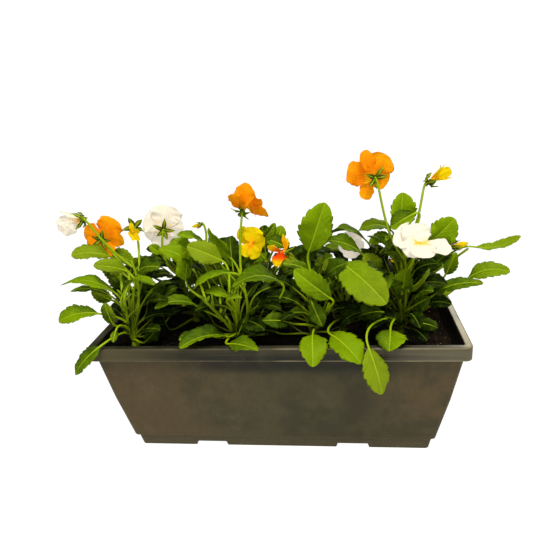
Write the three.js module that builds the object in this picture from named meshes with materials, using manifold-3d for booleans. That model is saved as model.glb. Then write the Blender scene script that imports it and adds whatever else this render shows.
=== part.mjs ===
// A planted window box: a moulded plastic trough with a folded-over rim, filled with potting mix,
// and eight pansy plants with their leaves, stalks, buds and open blooms.
// Millimetres, +Z up. The origin is the centre of the trough's underside; +X runs along the trough
// to the right and +Y to the back. Stems, stalks and leaves of one plant are one solid, and so are
// the petals of one bloom.
import * as THREE from "three";
import { mergeVertices } from "three/addons/utils/BufferGeometryUtils.js";
import Module from "manifold-3d";

const wasm = await Module();
wasm.setup();
const { Manifold, Mesh: SolidMesh } = wasm;

// ---------- driving dimensions ----------

const BOX_LENGTH = 400;
const BOX_DEPTH = 170;
const BOX_HEIGHT = 138;
const RIM_SKIRT = 15;       // how far the folded rim hangs down outside the wall
const RIM_OVERHANG = 6.5;   // from the wall out to the face of the skirt
const RIM_BAND = 7;         // flat top of the rim
const RIM_LAYER = 2.2;      // thickness of the folded rim
const RIM_ROUND = 1.5;      // rounding between the skirt and the flat band
const RIM_DIP = 4;          // how far the rim rolls down to the inside of the wall
const WALL = 2.2;
const CORNER = 8;           // corner radius of the rim
const WALL_CORNER = 5;
const INNER_CORNER = 3;
const FOOT_HEIGHT = 16;
const FOOT_STEP = 3;        // ledge where the foot meets the wall
const WALL_TAPER_X = 22.5;  // how far each end wall leans in from rim to foot
const WALL_TAPER_Y = 16.5;
const WALL_BULGE = 1;       // the potting mix presses the walls out a little halfway up
const WALL_FLARE = 1.8;     // how far the wall goes on outwards inside the skirt
const FLOOR_TOP = 9;
const CHANNEL_INNER = 64;   // drainage channels under the foot, from the middle outwards
const CHANNEL_OUTER = 97.5;
const CHANNEL_HEIGHT = 5.5;
const CHANNEL_FLARE = 2;
const DRAIN_RADIUS = 2.8;
const DRAIN_ROWS = [-32, 0, 32];

const CORNER_STEPS = 3;

const SOIL_TOP = 116.5;
const SOIL_GAP = 0.35;      // between the potting mix and whatever it touches
const CROWN_TOP = 122;
const CROWN_ROOT = 95;
const CROWN_RADIUS = 4.6;

const LEAF_THICKNESS = 1.1;
const LEAF_TEETH = 4;
const SMALL_LEAF = 27;      // a leaf narrower than this has fewer teeth
const SMALL_TEETH = 3;
const TOOTH_DEPTH = 0.17;
const LEAF_WEDGE = 1.25;    // exponent of the outline at a leaf's foot, less LEAF_ROUNDER for each
const LEAF_ROUNDER = 0.75;  // unit of its width over its length
const LEAF_TIP = 0.55;
const PETAL_THICKNESS = 1.0;
const PETAL_STATIONS = 4;
const SMALL_BLOOM = 23;     // a bloom with shorter petals than this has fewer stations
const SMALL_STATIONS = 3;
const PETAL_EARLY = 1.45;   // above 1 the petal is broadest past its middle
const PETAL_FOOT = 0.7;     // exponents of a petal's outline at its foot and its tip, and how much
const PETAL_FOOT_BLUNT = 0.3;  // a blunt petal takes off each
const PETAL_TIP = 0.5;
const PETAL_TIP_BLUNT = 0.25;
const PETAL_WAVE = 0.1;     // height of the waves of a petal's edge, as a share of its half width
const PETAL_WAVES = 1.5;
const STEM_RADIUS = 1.9;
const STEM_STEPS = 5;
const PETIOLE_RADIUS = 1.3;
const PETIOLE_STEPS = 2;
const PETIOLE_AXIL = 0.62;  // share of the blade's height above which its petiole never starts
const STALK_RADIUS = 1.35;
const STALK_STEPS = 5;
const STALK_AXIL = 0.8;
const CLEARANCE = 0.35;     // kept between the solids of different nodes

// Where a leaf would cross another plant, a bloom or the box, it is bent clear by the first of
// these shifts that frees it: along the line that slopes down to the back, then upwards.
const INWARD = new THREE.Vector3(-0.12, 0.94, -0.33);
const UPWARD = new THREE.Vector3(0, 0, 1);
const BEND_STEPS = [4, -4, 8, -8, 12, -12, 16, -16, 20, -20, 26, -26];
const LIFT_STEPS = [3, 6, 9, 12, 16];

// ---------- the planting, placed as the real one grew ----------

// Each plant: its crown, then its leafy stems as four control points.
const PLANTS = [
  { crown: [-166, -32], stems: [
    [[-166, -32, 120], [-172, -40, 134], [-162, -46, 165], [-168, -43, 186]],
    [[-166, -32, 120], [-166, -28, 140], [-148, -22, 180], [-160, -24, 216]]] },
  { crown: [-45, -28], stems: [
    [[-45, -28, 120], [-50, -36, 134], [-58, -48, 160], [-78, -46, 178]],
    [[-45, -28, 120], [-44, -44, 136], [-38, -46, 158], [-46, -52, 182]],
    [[-45, -28, 120], [-34, -24, 136], [-28, -24, 160], [-40, -20, 196]],
    [[-45, -28, 120], [-28, -34, 128], [-10, -38, 146], [6, -38, 172]]] },
  { crown: [38, -30], stems: [
    [[38, -30, 120], [40, -32, 134], [52, -42, 152], [58, -48, 172]],
    [[38, -30, 120], [44, -22, 140], [42, -22, 170], [44, -24, 200]]] },
  { crown: [73, 0], stems: [
    [[73, 0, 120], [74, -6, 140], [82, -12, 160], [78, -18, 196]]] },
  { crown: [137, -4], stems: [
    [[137, -4, 120], [140, -8, 136], [138, -10, 156], [122, -14, 178]],
    [[137, -4, 120], [146, -4, 140], [170, -6, 148], [198, -6, 174]],
    [[137, -4, 120], [142, -2, 150], [148, -4, 180], [136, -2, 222]]] },
  { crown: [-110, 34], stems: [
    [[-110, 34, 120], [-112, 30, 150], [-122, 24, 170], [-116, 18, 200]]] },
  { crown: [-12, 36], stems: [
    [[-12, 36, 120], [-10, 30, 150], [-24, 24, 170], [-16, 14, 204]]] },
  { crown: [108, 42], stems: [
    [[108, 42, 120], [112, 38, 150], [104, 34, 180], [112, 20, 212]],
    [[108, 42, 120], [130, 38, 140], [168, 32, 168], [214, 32, 204]]] },
];

// Each leaf: plant, blade base, blade tip, width, direction its upper side faces, arch of the
// blade, and the angle at which its two halves fold up from the midrib.
const LEAVES = [
  [0, [-183, -25, 222], [-220, -40, 228], 25, [0.1, -0.5, 0.86], 5, 0.2],
  [0, [-192, -8, 220], [-167, -2, 206], 21, [0, -0.5, 0.86], 4, 0.15],
  [0, [-162, -38, 209], [-191, -52, 220], 19, [0.1, -0.7, 0.7], 4, 0.25],
  [0, [-174, -42, 183], [-231, -55, 199], 21, [0.1, -0.25, 0.96], 12, 0.2],
  [0, [-192, -20, 173], [-234, -30, 183], 16, [0, -0.1, 0.99], 6, 0.15],
  [0, [-190, -60, 168], [-232, -70, 163], 23, [-0.2, -0.55, 0.8], 7, 0.1],
  [0, [-196, -10, 164], [-216, -16, 178], 18, [0.2, -0.9, 0.4], 3, 0.1],
  [0, [-176, -60, 156], [-180, -63, 182], 18, [0, -0.9, -0.1], 2, 0.25],
  [0, [-160, -62, 189], [-121, -66, 202], 20, [0, 0.1, 0.99], 11, 0.3],
  [0, [-148, -48, 128], [-129, -52, 149], 17, [0.5, -0.8, 0.2], 2, 0.2],
  [0, [-181, -89, 143], [-207, -102, 117], 23, [-0.3, -0.8, 0.5], 4, 0.1],
  [0, [-171, -62, 150], [-173, -66, 138], 9, [0, -0.9, -0.3], 1, 0.2],
  [0, [-172, -10, 179], [-192, -12, 199], 24, [-0.1, -0.8, 0.5], 3, 0.15],
  [0, [-205, 0, 206], [-188, 4, 186], 20, [0.2, -0.7, 0.7], 3, 0.15],
  [5, [-157, -2, 172], [-128, -8, 164], 26, [0, -0.8, 0.5], 3, 0.15],
  [5, [-135, -2, 124], [-139, -6, 150], 20, [0, -0.9, 0.1], 2, 0.1],
  [5, [-158, 20, 178], [-161, 25, 205], 20, [-0.2, -0.9, 0.1], 2, 0.1],
  [5, [-153, 15, 184], [-180, 18, 204], 26, [-0.1, -0.8, 0.5], 3, 0.15],
  [5, [-137, 12, 213], [-149, 9, 224], 13, [0, -0.8, 0.5], 1, 0.2],
  [1, [-84, -40, 166], [-128, -58, 172], 18, [0, -0.25, 0.96], 9, 0.2],
  [1, [-101, -12, 211], [-129, -18, 227], 24, [0, -0.5, 0.86], 5, 0.15],
  [1, [-98, -30, 193], [-89, -34, 231], 27, [-0.3, -0.95, 0.1], 2, 0.75],
  [1, [-54, -40, 219], [-89, -44, 237], 27, [-0.1, -0.8, 0.6], 4, 0.2],
  [1, [-48, -22, 216], [-69, -22, 251], 25, [-0.35, -0.9, -0.1], 3, 0.3],
  [1, [-37, -62, 212], [-79, -76, 199], 21, [0, -0.15, 0.98], 7, 0.25],
  [1, [9, -45, 194], [-40, -62, 197], 30, [0, -0.3, 0.95], 12, 0.15],
  [1, [-43, -62, 184], [-69, -68, 194], 16, [0, -0.3, 0.95], 5, 0.2],
  [1, [-46, -60, 183], [-30, -63, 186], 10, [0, -0.5, 0.86], 2, 0.2],
  [1, [-51, -62, 141], [-96, -88, 140], 26, [0.1, -0.3, 0.95], 8, 0.5],
  [1, [-80, -52, 136], [-103, -66, 139], 16, [0, -0.6, 0.8], 3, 0.2],
  [1, [-46, -78, 140], [-13, -94, 140], 24, [0, -0.35, 0.93], 3, 0.12],
  [1, [-41, -48, 138], [-31, -50, 158], 12, [0, -0.9, 0.2], 2, 0.2],
  [5, [-102, 12, 213], [-124, 14, 229], 24, [0, -0.8, 0.6], 3, 0.15],
  [5, [-84, 14, 222], [-115, 12, 234], 17, [0, -0.15, 0.98], 4, 0.3],
  [1, [-72, -6, 182], [-82, -6, 204], 24, [0, -0.9, 0.3], 3, 0.15],
  [5, [-77, 14, 173], [-97, 16, 194], 26, [-0.1, -0.85, 0.4], 3, 0.15],
  [6, [-55, 4, 172], [-65, 6, 198], 23, [-0.1, -0.9, 0.2], 3, 0.15],
  [6, [-34, 6, 191], [-18, 4, 211], 26, [0, -0.95, 0.2], 2, 0.1],
  [6, [-24, 8, 222], [-1, 10, 246], 17, [0.4, -0.85, -0.2], 4, 0.3],
  [6, [-1, 16, 222], [5, 18, 241], 17, [0.3, -0.9, 0], 2, 0.2],
  [6, [10, 2, 220], [-11, -4, 232], 18, [0.1, -0.7, 0.7], 3, 0.2],
  [6, [20, 12, 183], [7, 14, 209], 23, [0.1, -0.9, 0.2], 3, 0.15],
  [6, [-22, 16, 162], [-36, 18, 186], 20, [0, -0.9, 0.3], 2, 0.15],
  [2, [27, 0, 161], [9, 2, 182], 22, [0, -0.9, 0.3], 2, 0.15],
  [2, [16, -48, 150], [-12, -60, 158], 20, [0, -0.7, 0.7], 4, 0.15],
  [2, [37, -20, 220], [56, -22, 274], 39, [0.1, -0.97, 0.15], 3, 0.12],
  [2, [61, -58, 181], [24, -60, 214], 28, [-0.25, -0.9, 0.3], 3, 0.18],
  [2, [39, -30, 200], [10, -34, 212], 16, [0, -0.4, 0.9], 4, 0.2],
  [2, [40, -45, 172], [51, -54, 148], 19, [0.1, -0.95, -0.1], 2, 0.2],
  [2, [32, -40, 158], [16, -44, 160], 12, [0, -0.7, 0.7], 2, 0.2],
  [2, [41, -70, 146], [42, -102, 126], 31, [0, -0.6, 0.8], 7, 0.1],
  [2, [59, -4, 181], [46, -6, 210], 25, [-0.1, -0.9, 0.3], 3, 0.15],
  [3, [71, -28, 210], [116, -72, 180], 45, [0.25, -0.75, 0.6], 5, 0.14],
  [7, [75, 12, 171], [66, 14, 198], 24, [0, -0.9, 0.3], 3, 0.15],
  [7, [95, 0, 210], [56, -10, 230], 24, [0, -0.4, 0.9], 5, 0.2],
  [7, [100, 20, 220], [50, 12, 225], 23, [0, -0.1, 0.99], 12, 0.25],
  [7, [127, 12, 233], [90, 6, 234], 27, [0, -0.4, 0.9], 9, 0.15],
  [7, [128, 0, 230], [103, -10, 226], 16, [0, -0.6, 0.8], 3, 0.2],
  [7, [113, 14, 184], [95, 16, 205], 25, [0.1, -0.9, 0.3], 3, 0.15],
  [3, [114, -30, 154], [87, -40, 152], 25, [0, -0.6, 0.8], 4, 0.15],
  [3, [126, 4, 152], [105, 2, 168], 22, [0, -0.9, 0.3], 3, 0.15],
  [3, [60, -66, 144], [89, -98, 127], 36, [0.2, -0.65, 0.73], 6, 0.12],
  [4, [97, -88, 141], [110, -102, 96], 28, [0.15, -0.85, 0.45], 5, 0.12],
  [4, [135, 0, 238], [137, 2, 277], 31, [0.1, -0.97, 0.1], 2, 0.3],
  [4, [149, -14, 258], [125, -20, 245], 22, [0.1, -0.8, 0.6], 3, 0.25],
  [4, [165, -2, 223], [190, -8, 250], 33, [0.25, -0.85, 0.1], 3, 0.25],
  [4, [135, -20, 167], [140, -24, 201], 25, [-0.1, -0.95, 0.2], 2, 0.12],
  [4, [140, -28, 176], [161, -38, 206], 16, [0.6, -0.75, -0.1], 3, 0.3],
  [4, [167, -20, 167], [218, -30, 185], 18, [-0.2, -0.3, 0.93], 8, 0.25],
  [4, [206, -5, 180], [249, -12, 191], 24, [0, -0.4, 0.9], 9, 0.2],
  [7, [220, 30, 207], [267, 20, 221], 18, [0.1, -0.35, 0.93], -7, 0.25],
  [7, [188, 18, 178], [198, 14, 206], 16, [-0.2, -0.9, 0.1], 2, 0.2],
  [4, [147, -20, 155], [165, -26, 169], 17, [0, -0.8, 0.5], 3, 0.15],
  [7, [173, 12, 150], [190, 12, 159], 17, [0, -0.7, 0.7], 3, 0.15],
  [4, [153, -28, 139], [172, -40, 139], 20, [0.1, -0.6, 0.8], 3, 0.12],
  [4, [120, -68, 150], [117, -92, 138], 33, [0, -0.75, 0.66], 3, 0.08],
  [7, [148, 20, 171], [142, 22, 204], 26, [0, -0.95, 0.2], 2, 0.1],
  [7, [157, 15, 177], [164, 14, 201], 20, [0.1, -0.95, 0.1], 2, 0.1],
];

// Leaves that no bloom or named leaf shows fill each plant out by the golden angle, with a seeded
// draw: plant, how many, first azimuth and the share of the circle that they spread over.
const FILLERS = [
  [0, 1, 0.6, 1.5], [1, 1, 0.5, 1.7], [2, 1, 0.7, 1.5], [3, 1, 0.1, 2.6],
  [4, 1, 0.4, 1.6], [5, 3, 0, 3.1], [6, 4, 0.2, 3.1], [7, 3, 0.1, 3.1],
];
// Least value and range of what is drawn for each filling leaf: distance from the crown to the
// blade, blade length, height of the blade's foot and how far its tip rises.
const FILLER_NEAR = [14, 16];
const FILLER_LENGTH = [34, 14];
const FILLER_HEIGHT = [142, 62];
const FILLER_RISE = [-5, 14];
const FILLER_RUN = 0.9;     // how far a filling leaf runs out, as a share of the drawn length
const FILLER_WIDTH = 0.62;  // its width as a share of that length
const FILLER_TURN = 0.25;   // how far its face turns outwards from straight up
const FILLER_ARCH = 6;
const FILLER_FOLD = 0.15;
const GOLDEN_ANGLE = Math.PI * (3 - Math.sqrt(5));
const FILLER_SEED = 20260;

// Each open or half open bloom: node name, plant, where its stalk meets the calyx, the way it faces, petal length,
// how far the petals lean forward (radians), colour, and the stalk's way up from its stem.
const BLOOMS = [
  ["bloom_white_far_left", 0, [-202, -38, 268], [-0.93, 0.25, -0.25], 22, 0.75, "white",
    [[-189, -30, 236], [-194, -40, 268]]],
  ["bloom_orange_left", 0, [-193, -15, 240], [-0.1, 0.97, 0.2], 25, 0.3, "orange",
    [[-180, -20, 218], [-190, -20, 242]]],
  ["bloom_white_back", 5, [-129, 8, 243], [-0.3, 0.94, 0.1], 26, 0.3, "white",
    [[-143, 6, 198], [-129, 2, 240]]],
  ["bloom_orange_middle", 1, [-32, -10, 266], [0.35, 0.75, 0.55], 25, 0.35, "orange",
    [[-42, -10, 212], [-35, -14, 256]]],
  ["bloom_yellow", 6, [-26, -4, 228], [-0.15, -0.97, -0.15], 19, 0.2, "yellow",
    [[-18, 4, 200], [-24, 4, 222]]],
  ["bloom_gold", 6, [10, 2, 215], [-0.6, -0.78, 0.1], 17, 0.3, "gold",
    [[10, 4, 196], [14, 8, 213]]],
  ["bloom_white_middle", 7, [82, 34, 213], [0.15, -0.98, 0.1], 17, 0.2, "white",
    [[86, 40, 180], [84, 42, 206]]],
  ["bloom_orange_tall", 4, [107, -10, 296], [-0.35, 0.93, 0.05], 27, 0.3, "orange",
    [[116, -4, 232], [114, -15, 288]]],
  ["bloom_white_right", 4, [150, -34, 227], [0.25, -0.6, 0.76], 28, 0.4, "white",
    [[145, -20, 192], [147, -30, 216]]],
  ["bud_yellow_left", 0, [-163, 5, 245], [0.15, -0.95, -0.25], 9, 0.3, "yellow",
    [[-158, 6, 214], [-162, 12, 252]]],
  ["bud_yellow_tall", 4, [164, 5, 287], [0.88, 0, 0.48], 12, 1, "yellow",
    [[160, 2, 246], [156, 4, 284]]],
];

// The blooms whose petals are laid one by one, in the order of PETALS: the tip, the width and how
// blunt the petal is, from -1 for pointed to 1 for square.
const LAID_PETALS = {
  bloom_white_far_left: [[[-229, -30, 275], 13, 0.3], [[-232, -34, 267], 19, 0.4],
    [[-229, -40, 257], 17, 0.3], [[-221, -44, 252], 17, 0.3], [[-210, -46, 258], 13, 0]],
  bloom_orange_left: [[[-215, -12, 247], 28, 0.4], [[-178, -10, 261], 29, 0.4],
    [[-167, -18, 238], 20, 0.2], [[-208, -20, 231], 20, 0.2], [[-188, -22, 219], 21, 0.2]],
  bloom_white_back: [[[-149, 10, 259], 31, 0.3], [[-122, 12, 269], 36, 0.4],
    [[-107, 14, 242], 26, 0.2], [[-154, 14, 234], 26, 0.2], [[-134, 16, 218], 29, 0.2]],
  bloom_orange_middle: [[[-43, -16, 285], 22, 0.3], [[-28, -6, 295], 25, -0.4],
    [[-12, 0, 271], 21, 0.2], [[-7, 2, 255], 17, -0.4], [[-19, -14, 262], 20, 0.3]],
  bloom_yellow: [[[-42, 4, 241], 21, 0.2], [[-24, -4, 246], 25, 0.2], [[-37, -12, 216], 16, 0],
    [[-12, 0, 227], 19, 0.2], [[-20, -14, 213], 17, 0.4]],
  bloom_gold: [[[8, 4, 235], 7, -0.3], [[13, 4, 230], 6, -0.3], [[-8, -11, 226], 10, 0.6],
    [[12, 3, 204], 8, -0.2], [[1, -12, 202], 17, 1]],
  bloom_orange_tall: [[[96, -13, 324], 15, 0.8], [[118, -6, 319], 33, 0.4],
    [[79, -8, 302], 26, 1], [[123, 2, 290], 23, 0.3], [[98, -6, 272], 16, 1]],
  bloom_white_right: [[[128, -30, 245], 35, 0.6], [[146, -26, 250], 36, 0.6],
    [[183, -38, 225], 20, 0], [[134, -43, 225], 26, 0.4], [[153, -50, 220], 30, 0.4]],
  bud_yellow_left: [[[-166, -2, 238], 8, 0.3], [[-160, -5, 234], 9, 0.6],
    [[-154, -6, 234], 7, 0.3], [[-153, -4, 245], 7, 0], [[-163, -2, 254], 6, 0]],
  bud_yellow_tall: [[[181, 7, 304], 10, 0.5], [[188, 5, 290], 12, 0.8], [[186, 2, 299], 12, 0.9],
    [[182, 3, 288], 8, 0.3], [[176, 5, 304], 7, 0]],
};

// How far the sepals of some calyces lean forward over the petals, in radians. Behind the other
// open blooms they bend back a little.
const SEPAL_LEAN = -0.22;
const SEPAL_LEANS = { bloom_white_far_left: 0.6, bud_yellow_left: 0, bud_yellow_tall: 0.9 };

// Each furled bud: node name, plant, calyx, the way it points, length, colour, stalk.
const BUDS = [
  ["bud_pale_back", 5, [-84, 6, 248], [-0.95, -0.2, -0.2], 11, "yellow",
    [[-74, 6, 208], [-78, 6, 242]]],
  ["bud_orange_low", 4, [134, -2, 203], [-0.85, -0.4, 0.1], 10, "gold",
    [[138, -2, 178], [138, -1, 198]]],
  ["bud_yellow_right", 7, [196, 27, 208], [0.95, 0, 0.25], 18, "yellow",
    [[172, 30, 188], [184, 28, 203]]],
];

// ---------- materials ----------

function paint(color, roughness) {
  return new THREE.MeshStandardMaterial({ color, roughness, metalness: 0 });
}

const MATERIALS = {
  box: paint(0x4a453c, 0.45),
  soil: paint(0x1d1510, 0.95),
  leaf: paint(0x6f9a14, 0.5),
  orange: paint(0xff8c0a, 0.6),
  yellow: paint(0xf8cf08, 0.6),
  gold: paint(0xfbb60a, 0.6),
  white: paint(0xf6eee4, 0.6),
};

// ---------- solids ----------

function vector(list) {
  return new THREE.Vector3(list[0], list[1], list[2]);
}

/** A manifold solid from any closed geometry. */
function solidFrom(geometry) {
  const plain = geometry.clone();
  plain.deleteAttribute("normal");
  plain.deleteAttribute("uv");
  const merged = mergeVertices(plain, 1e-4);
  return new Manifold(new SolidMesh({
    numProp: 3,
    vertProperties: new Float32Array(merged.attributes.position.array),
    triVerts: new Uint32Array(merged.index.array),
  }));
}

/** The geometry of a manifold solid, with flat facets. */
function geometryOf(solid) {
  const mesh = solid.getMesh();
  const geometry = new THREE.BufferGeometry();
  geometry.setAttribute("position", new THREE.BufferAttribute(mesh.vertProperties, 3));
  geometry.setIndex(new THREE.BufferAttribute(mesh.triVerts, 1));
  const flat = geometry.toNonIndexed();
  flat.computeVertexNormals();
  return flat;
}

/**
 * A closed solid through rings of points. A ring of one point is a pole; a first or last ring of
 * more points is capped. With mirrored set, every other strip is split along its other diagonal,
 * so that the two faces of a thin blade are split alike and never cross.
 */
function loft(rings, mirrored = false) {
  const positions = rings.flat().flatMap((point) => [point.x, point.y, point.z]);
  const starts = [];
  let count = 0;
  for (const ring of rings) {
    starts.push(count);
    count += ring.length;
  }
  const triangles = [];
  for (let i = 0; i + 1 < rings.length; i += 1) {
    const sides = Math.max(rings[i].length, rings[i + 1].length);
    const low = (k) => starts[i] + (rings[i].length === 1 ? 0 : k % sides);
    const high = (k) => starts[i + 1] + (rings[i + 1].length === 1 ? 0 : k % sides);
    for (let k = 0; k < sides; k += 1) {
      if (rings[i].length === 1) {
        triangles.push(low(0), high(k + 1), high(k));
      } else if (rings[i + 1].length === 1) {
        triangles.push(low(k), low(k + 1), high(0));
      } else if (mirrored && k % 2 === 1) {
        triangles.push(low(k), low(k + 1), high(k), low(k + 1), high(k + 1), high(k));
      } else {
        triangles.push(low(k), high(k + 1), high(k), low(k), low(k + 1), high(k + 1));
      }
    }
  }
  capRing(triangles, starts[0], rings[0].length, false);
  capRing(triangles, starts.at(-1), rings.at(-1).length, true);
  const geometry = new THREE.BufferGeometry();
  geometry.setAttribute("position", new THREE.Float32BufferAttribute(positions, 3));
  geometry.setIndex(triangles);
  const solid = solidFrom(geometry);
  return solid.volume() < 0 ? loft(rings.map((ring) => ring.slice().reverse()), mirrored) : solid;
}

function capRing(triangles, start, length, outward) {
  for (let k = 1; k + 1 < length; k += 1) {
    const corners = [start, start + k, start + k + 1];
    triangles.push(...(outward ? corners : corners.reverse()));
  }
}

/** Points of a rectangle with rounded corners, with extra points along its sides. */
function roundedRing(halfX, halfY, radius, height, splitX = 0, splitY = 0) {
  const corners = [[1, 1], [-1, 1], [-1, -1], [1, -1]];
  const points = [];
  corners.forEach(([signX, signY], quarter) => {
    const centre = [signX * (halfX - radius), signY * (halfY - radius)];
    for (let k = 0; k <= CORNER_STEPS; k += 1) {
      const angle = (quarter + k / CORNER_STEPS) * Math.PI / 2;
      points.push(new THREE.Vector3(centre[0] + radius * Math.cos(angle),
        centre[1] + radius * Math.sin(angle), height));
    }
    const [nextX, nextY] = corners[(quarter + 1) % 4];
    const angle = (quarter + 1) * Math.PI / 2;
    const from = points.at(-1).clone();
    const to = new THREE.Vector3(nextX * (halfX - radius) + radius * Math.cos(angle),
      nextY * (halfY - radius) + radius * Math.sin(angle), height);
    const splits = quarter % 2 === 0 ? splitX : splitY;
    for (let k = 1; k <= splits; k += 1) {
      points.push(from.clone().lerp(to, k / (splits + 1)));
    }
  });
  return points;
}
// ---------- the trough ----------

const RIM = { x: BOX_LENGTH / 2, y: BOX_DEPTH / 2 };
const WALL_TOP = { x: RIM.x - RIM_OVERHANG, y: RIM.y - RIM_OVERHANG };
const WALL_FOOT = { x: WALL_TOP.x - WALL_TAPER_X, y: WALL_TOP.y - WALL_TAPER_Y };

function ring(size, inset, height, radius) {
  return roundedRing(size.x - inset, size.y - inset, radius, height);
}

/** Half length and half depth of the wall at a share of its height between foot and skirt. */
function wallAt(share) {
  return {
    x: WALL_FOOT.x + share * (WALL_TOP.x - WALL_FOOT.x),
    y: WALL_FOOT.y + share * (WALL_TOP.y - WALL_FOOT.y),
  };
}

/** Rings up the outside, over the folded rim, and down the inside to the floor. */
function troughShell() {
  const skirtFoot = BOX_HEIGHT - RIM_SKIRT;
  const underRim = BOX_HEIGHT - RIM_LAYER;
  return loft([
    ring(WALL_FOOT, 2 * FOOT_STEP, 0, WALL_CORNER),
    ring(WALL_FOOT, FOOT_STEP, FOOT_HEIGHT - 0.6, WALL_CORNER),
    ring(WALL_FOOT, 0, FOOT_HEIGHT, WALL_CORNER),
    ring(wallAt(0.5), -WALL_BULGE, (FOOT_HEIGHT + skirtFoot) / 2, WALL_CORNER),
    ring(WALL_TOP, 0, skirtFoot, WALL_CORNER),
    ring(WALL_TOP, -WALL_FLARE, underRim, WALL_CORNER),
    ring(RIM, RIM_LAYER, underRim, CORNER - RIM_LAYER),
    ring(RIM, RIM_LAYER, skirtFoot, CORNER - RIM_LAYER),
    ring(RIM, 0, skirtFoot, CORNER),
    ring(RIM, 0, BOX_HEIGHT - RIM_ROUND, CORNER),
    ring(RIM, RIM_ROUND, BOX_HEIGHT, CORNER - RIM_ROUND),
    ring(RIM, RIM_BAND, BOX_HEIGHT, INNER_CORNER),
    ring(WALL_TOP, WALL - WALL_FLARE / 2, BOX_HEIGHT - RIM_DIP, INNER_CORNER),
    ring(WALL_TOP, WALL, skirtFoot, INNER_CORNER),
    ring(wallAt(0.5), WALL - WALL_BULGE, (FOOT_HEIGHT + skirtFoot) / 2, INNER_CORNER),
    ring(WALL_FOOT, WALL, FOOT_HEIGHT + WALL, INNER_CORNER),
    ring(WALL_FOOT, WALL + FOOT_STEP, FOOT_HEIGHT, INNER_CORNER),
    ring(WALL_FOOT, WALL + 2 * FOOT_STEP, FLOOR_TOP, INNER_CORNER),
  ]);
}

/** A drainage channel that runs from front to back under the foot, wider at the bottom. */
function channel(side) {
  const outline = new THREE.Shape([
    new THREE.Vector2(CHANNEL_INNER - CHANNEL_FLARE, -1),
    new THREE.Vector2(CHANNEL_OUTER + CHANNEL_FLARE, -1),
    new THREE.Vector2(CHANNEL_OUTER, CHANNEL_HEIGHT),
    new THREE.Vector2(CHANNEL_INNER, CHANNEL_HEIGHT),
  ]);
  const cut = new THREE.ExtrudeGeometry(outline, { depth: BOX_DEPTH, bevelEnabled: false });
  cut.rotateX(Math.PI / 2);
  cut.translate(0, BOX_DEPTH / 2, 0);
  if (side < 0) {
    cut.rotateZ(Math.PI);
  }
  return solidFrom(cut);
}

function drainHole(x, y) {
  const cut = new THREE.CylinderGeometry(DRAIN_RADIUS, DRAIN_RADIUS, FLOOR_TOP, 8);
  cut.rotateX(Math.PI / 2);
  cut.translate(x, y, CHANNEL_HEIGHT + FLOOR_TOP / 2 - 1);
  return solidFrom(cut);
}

function windowBox() {
  let shell = troughShell();
  for (const side of [-1, 1]) {
    shell = shell.subtract(channel(side));
    const middle = side * (CHANNEL_INNER + CHANNEL_OUTER) / 2;
    for (const y of DRAIN_ROWS) {
      shell = shell.subtract(drainHole(middle, y));
    }
  }
  return shell;
}

// ---------- the potting mix ----------

function soilHeight(x, y) {
  return SOIL_TOP + 1.7 * Math.sin(x / 31 + 0.6) * Math.cos(y / 19) + 1.2 * Math.sin(x / 13 + y / 11);
}

/** The potting mix fills the trough, with a plain hole where each crown stands in it. */
function pottingMix() {
  const edge = wallAt((SOIL_TOP - FOOT_HEIGHT) / (BOX_HEIGHT - RIM_SKIRT - FOOT_HEIGHT));
  const layer = (size, inset, height, radius) => roundedRing(
    size.x - inset, size.y - inset, radius, height, 4, 1);
  const rings = [
    layer(WALL_FOOT, WALL + 2 * FOOT_STEP + 1, FLOOR_TOP + SOIL_GAP, INNER_CORNER),
    layer(WALL_FOOT, WALL + FOOT_STEP + 1, FOOT_HEIGHT, INNER_CORNER),
    layer(WALL_FOOT, WALL + 1, FOOT_HEIGHT + WALL + 1, INNER_CORNER),
    layer(edge, WALL + 1, SOIL_TOP - 1.5, INNER_CORNER),
  ];
  for (const scale of [0.95, 0.7, 0.35]) {
    rings.push(layer(edge, WALL + 1, 0, INNER_CORNER).map((point) => new THREE.Vector3(point.x * scale,
      point.y * scale, soilHeight(point.x * scale, point.y * scale))));
  }
  rings.push([new THREE.Vector3(0, 0, soilHeight(0, 0))]);
  let soil = loft(rings);
  for (const { crown: [x, y] } of PLANTS) {
    const radius = CROWN_RADIUS + 1.2;
    const hole = new THREE.CylinderGeometry(radius, radius, 40, 6);
    hole.rotateX(Math.PI / 2);
    hole.translate(x, y, CROWN_ROOT + 20 - SOIL_GAP);
    soil = soil.subtract(solidFrom(hole));
  }
  return soil;
}

// ---------- blades: leaves and petals ----------

// Half width along a blade from base to tip, as a share of its greatest half width. A leaf starts
// as a wedge, the slimmer the leaf the more so, and ends rounded. A petal is broadest past its
// middle, and the blunter it is the squarer its outline.
const PROFILES = {
  leaf: (t, aspect) => {
    const wedge = Math.min(Math.max(LEAF_WEDGE - LEAF_ROUNDER * aspect, LEAF_TIP), 1);
    return Math.sin(Math.PI * t) ** (wedge + (LEAF_TIP - wedge) * t);
  },
  petal: (t, aspect, blunt) => {
    const foot = PETAL_FOOT - PETAL_FOOT_BLUNT * blunt;
    const tip = PETAL_TIP - PETAL_TIP_BLUNT * blunt;
    return Math.sin(Math.PI * t ** PETAL_EARLY) ** (foot + (tip - foot) * t);
  },
};

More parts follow.
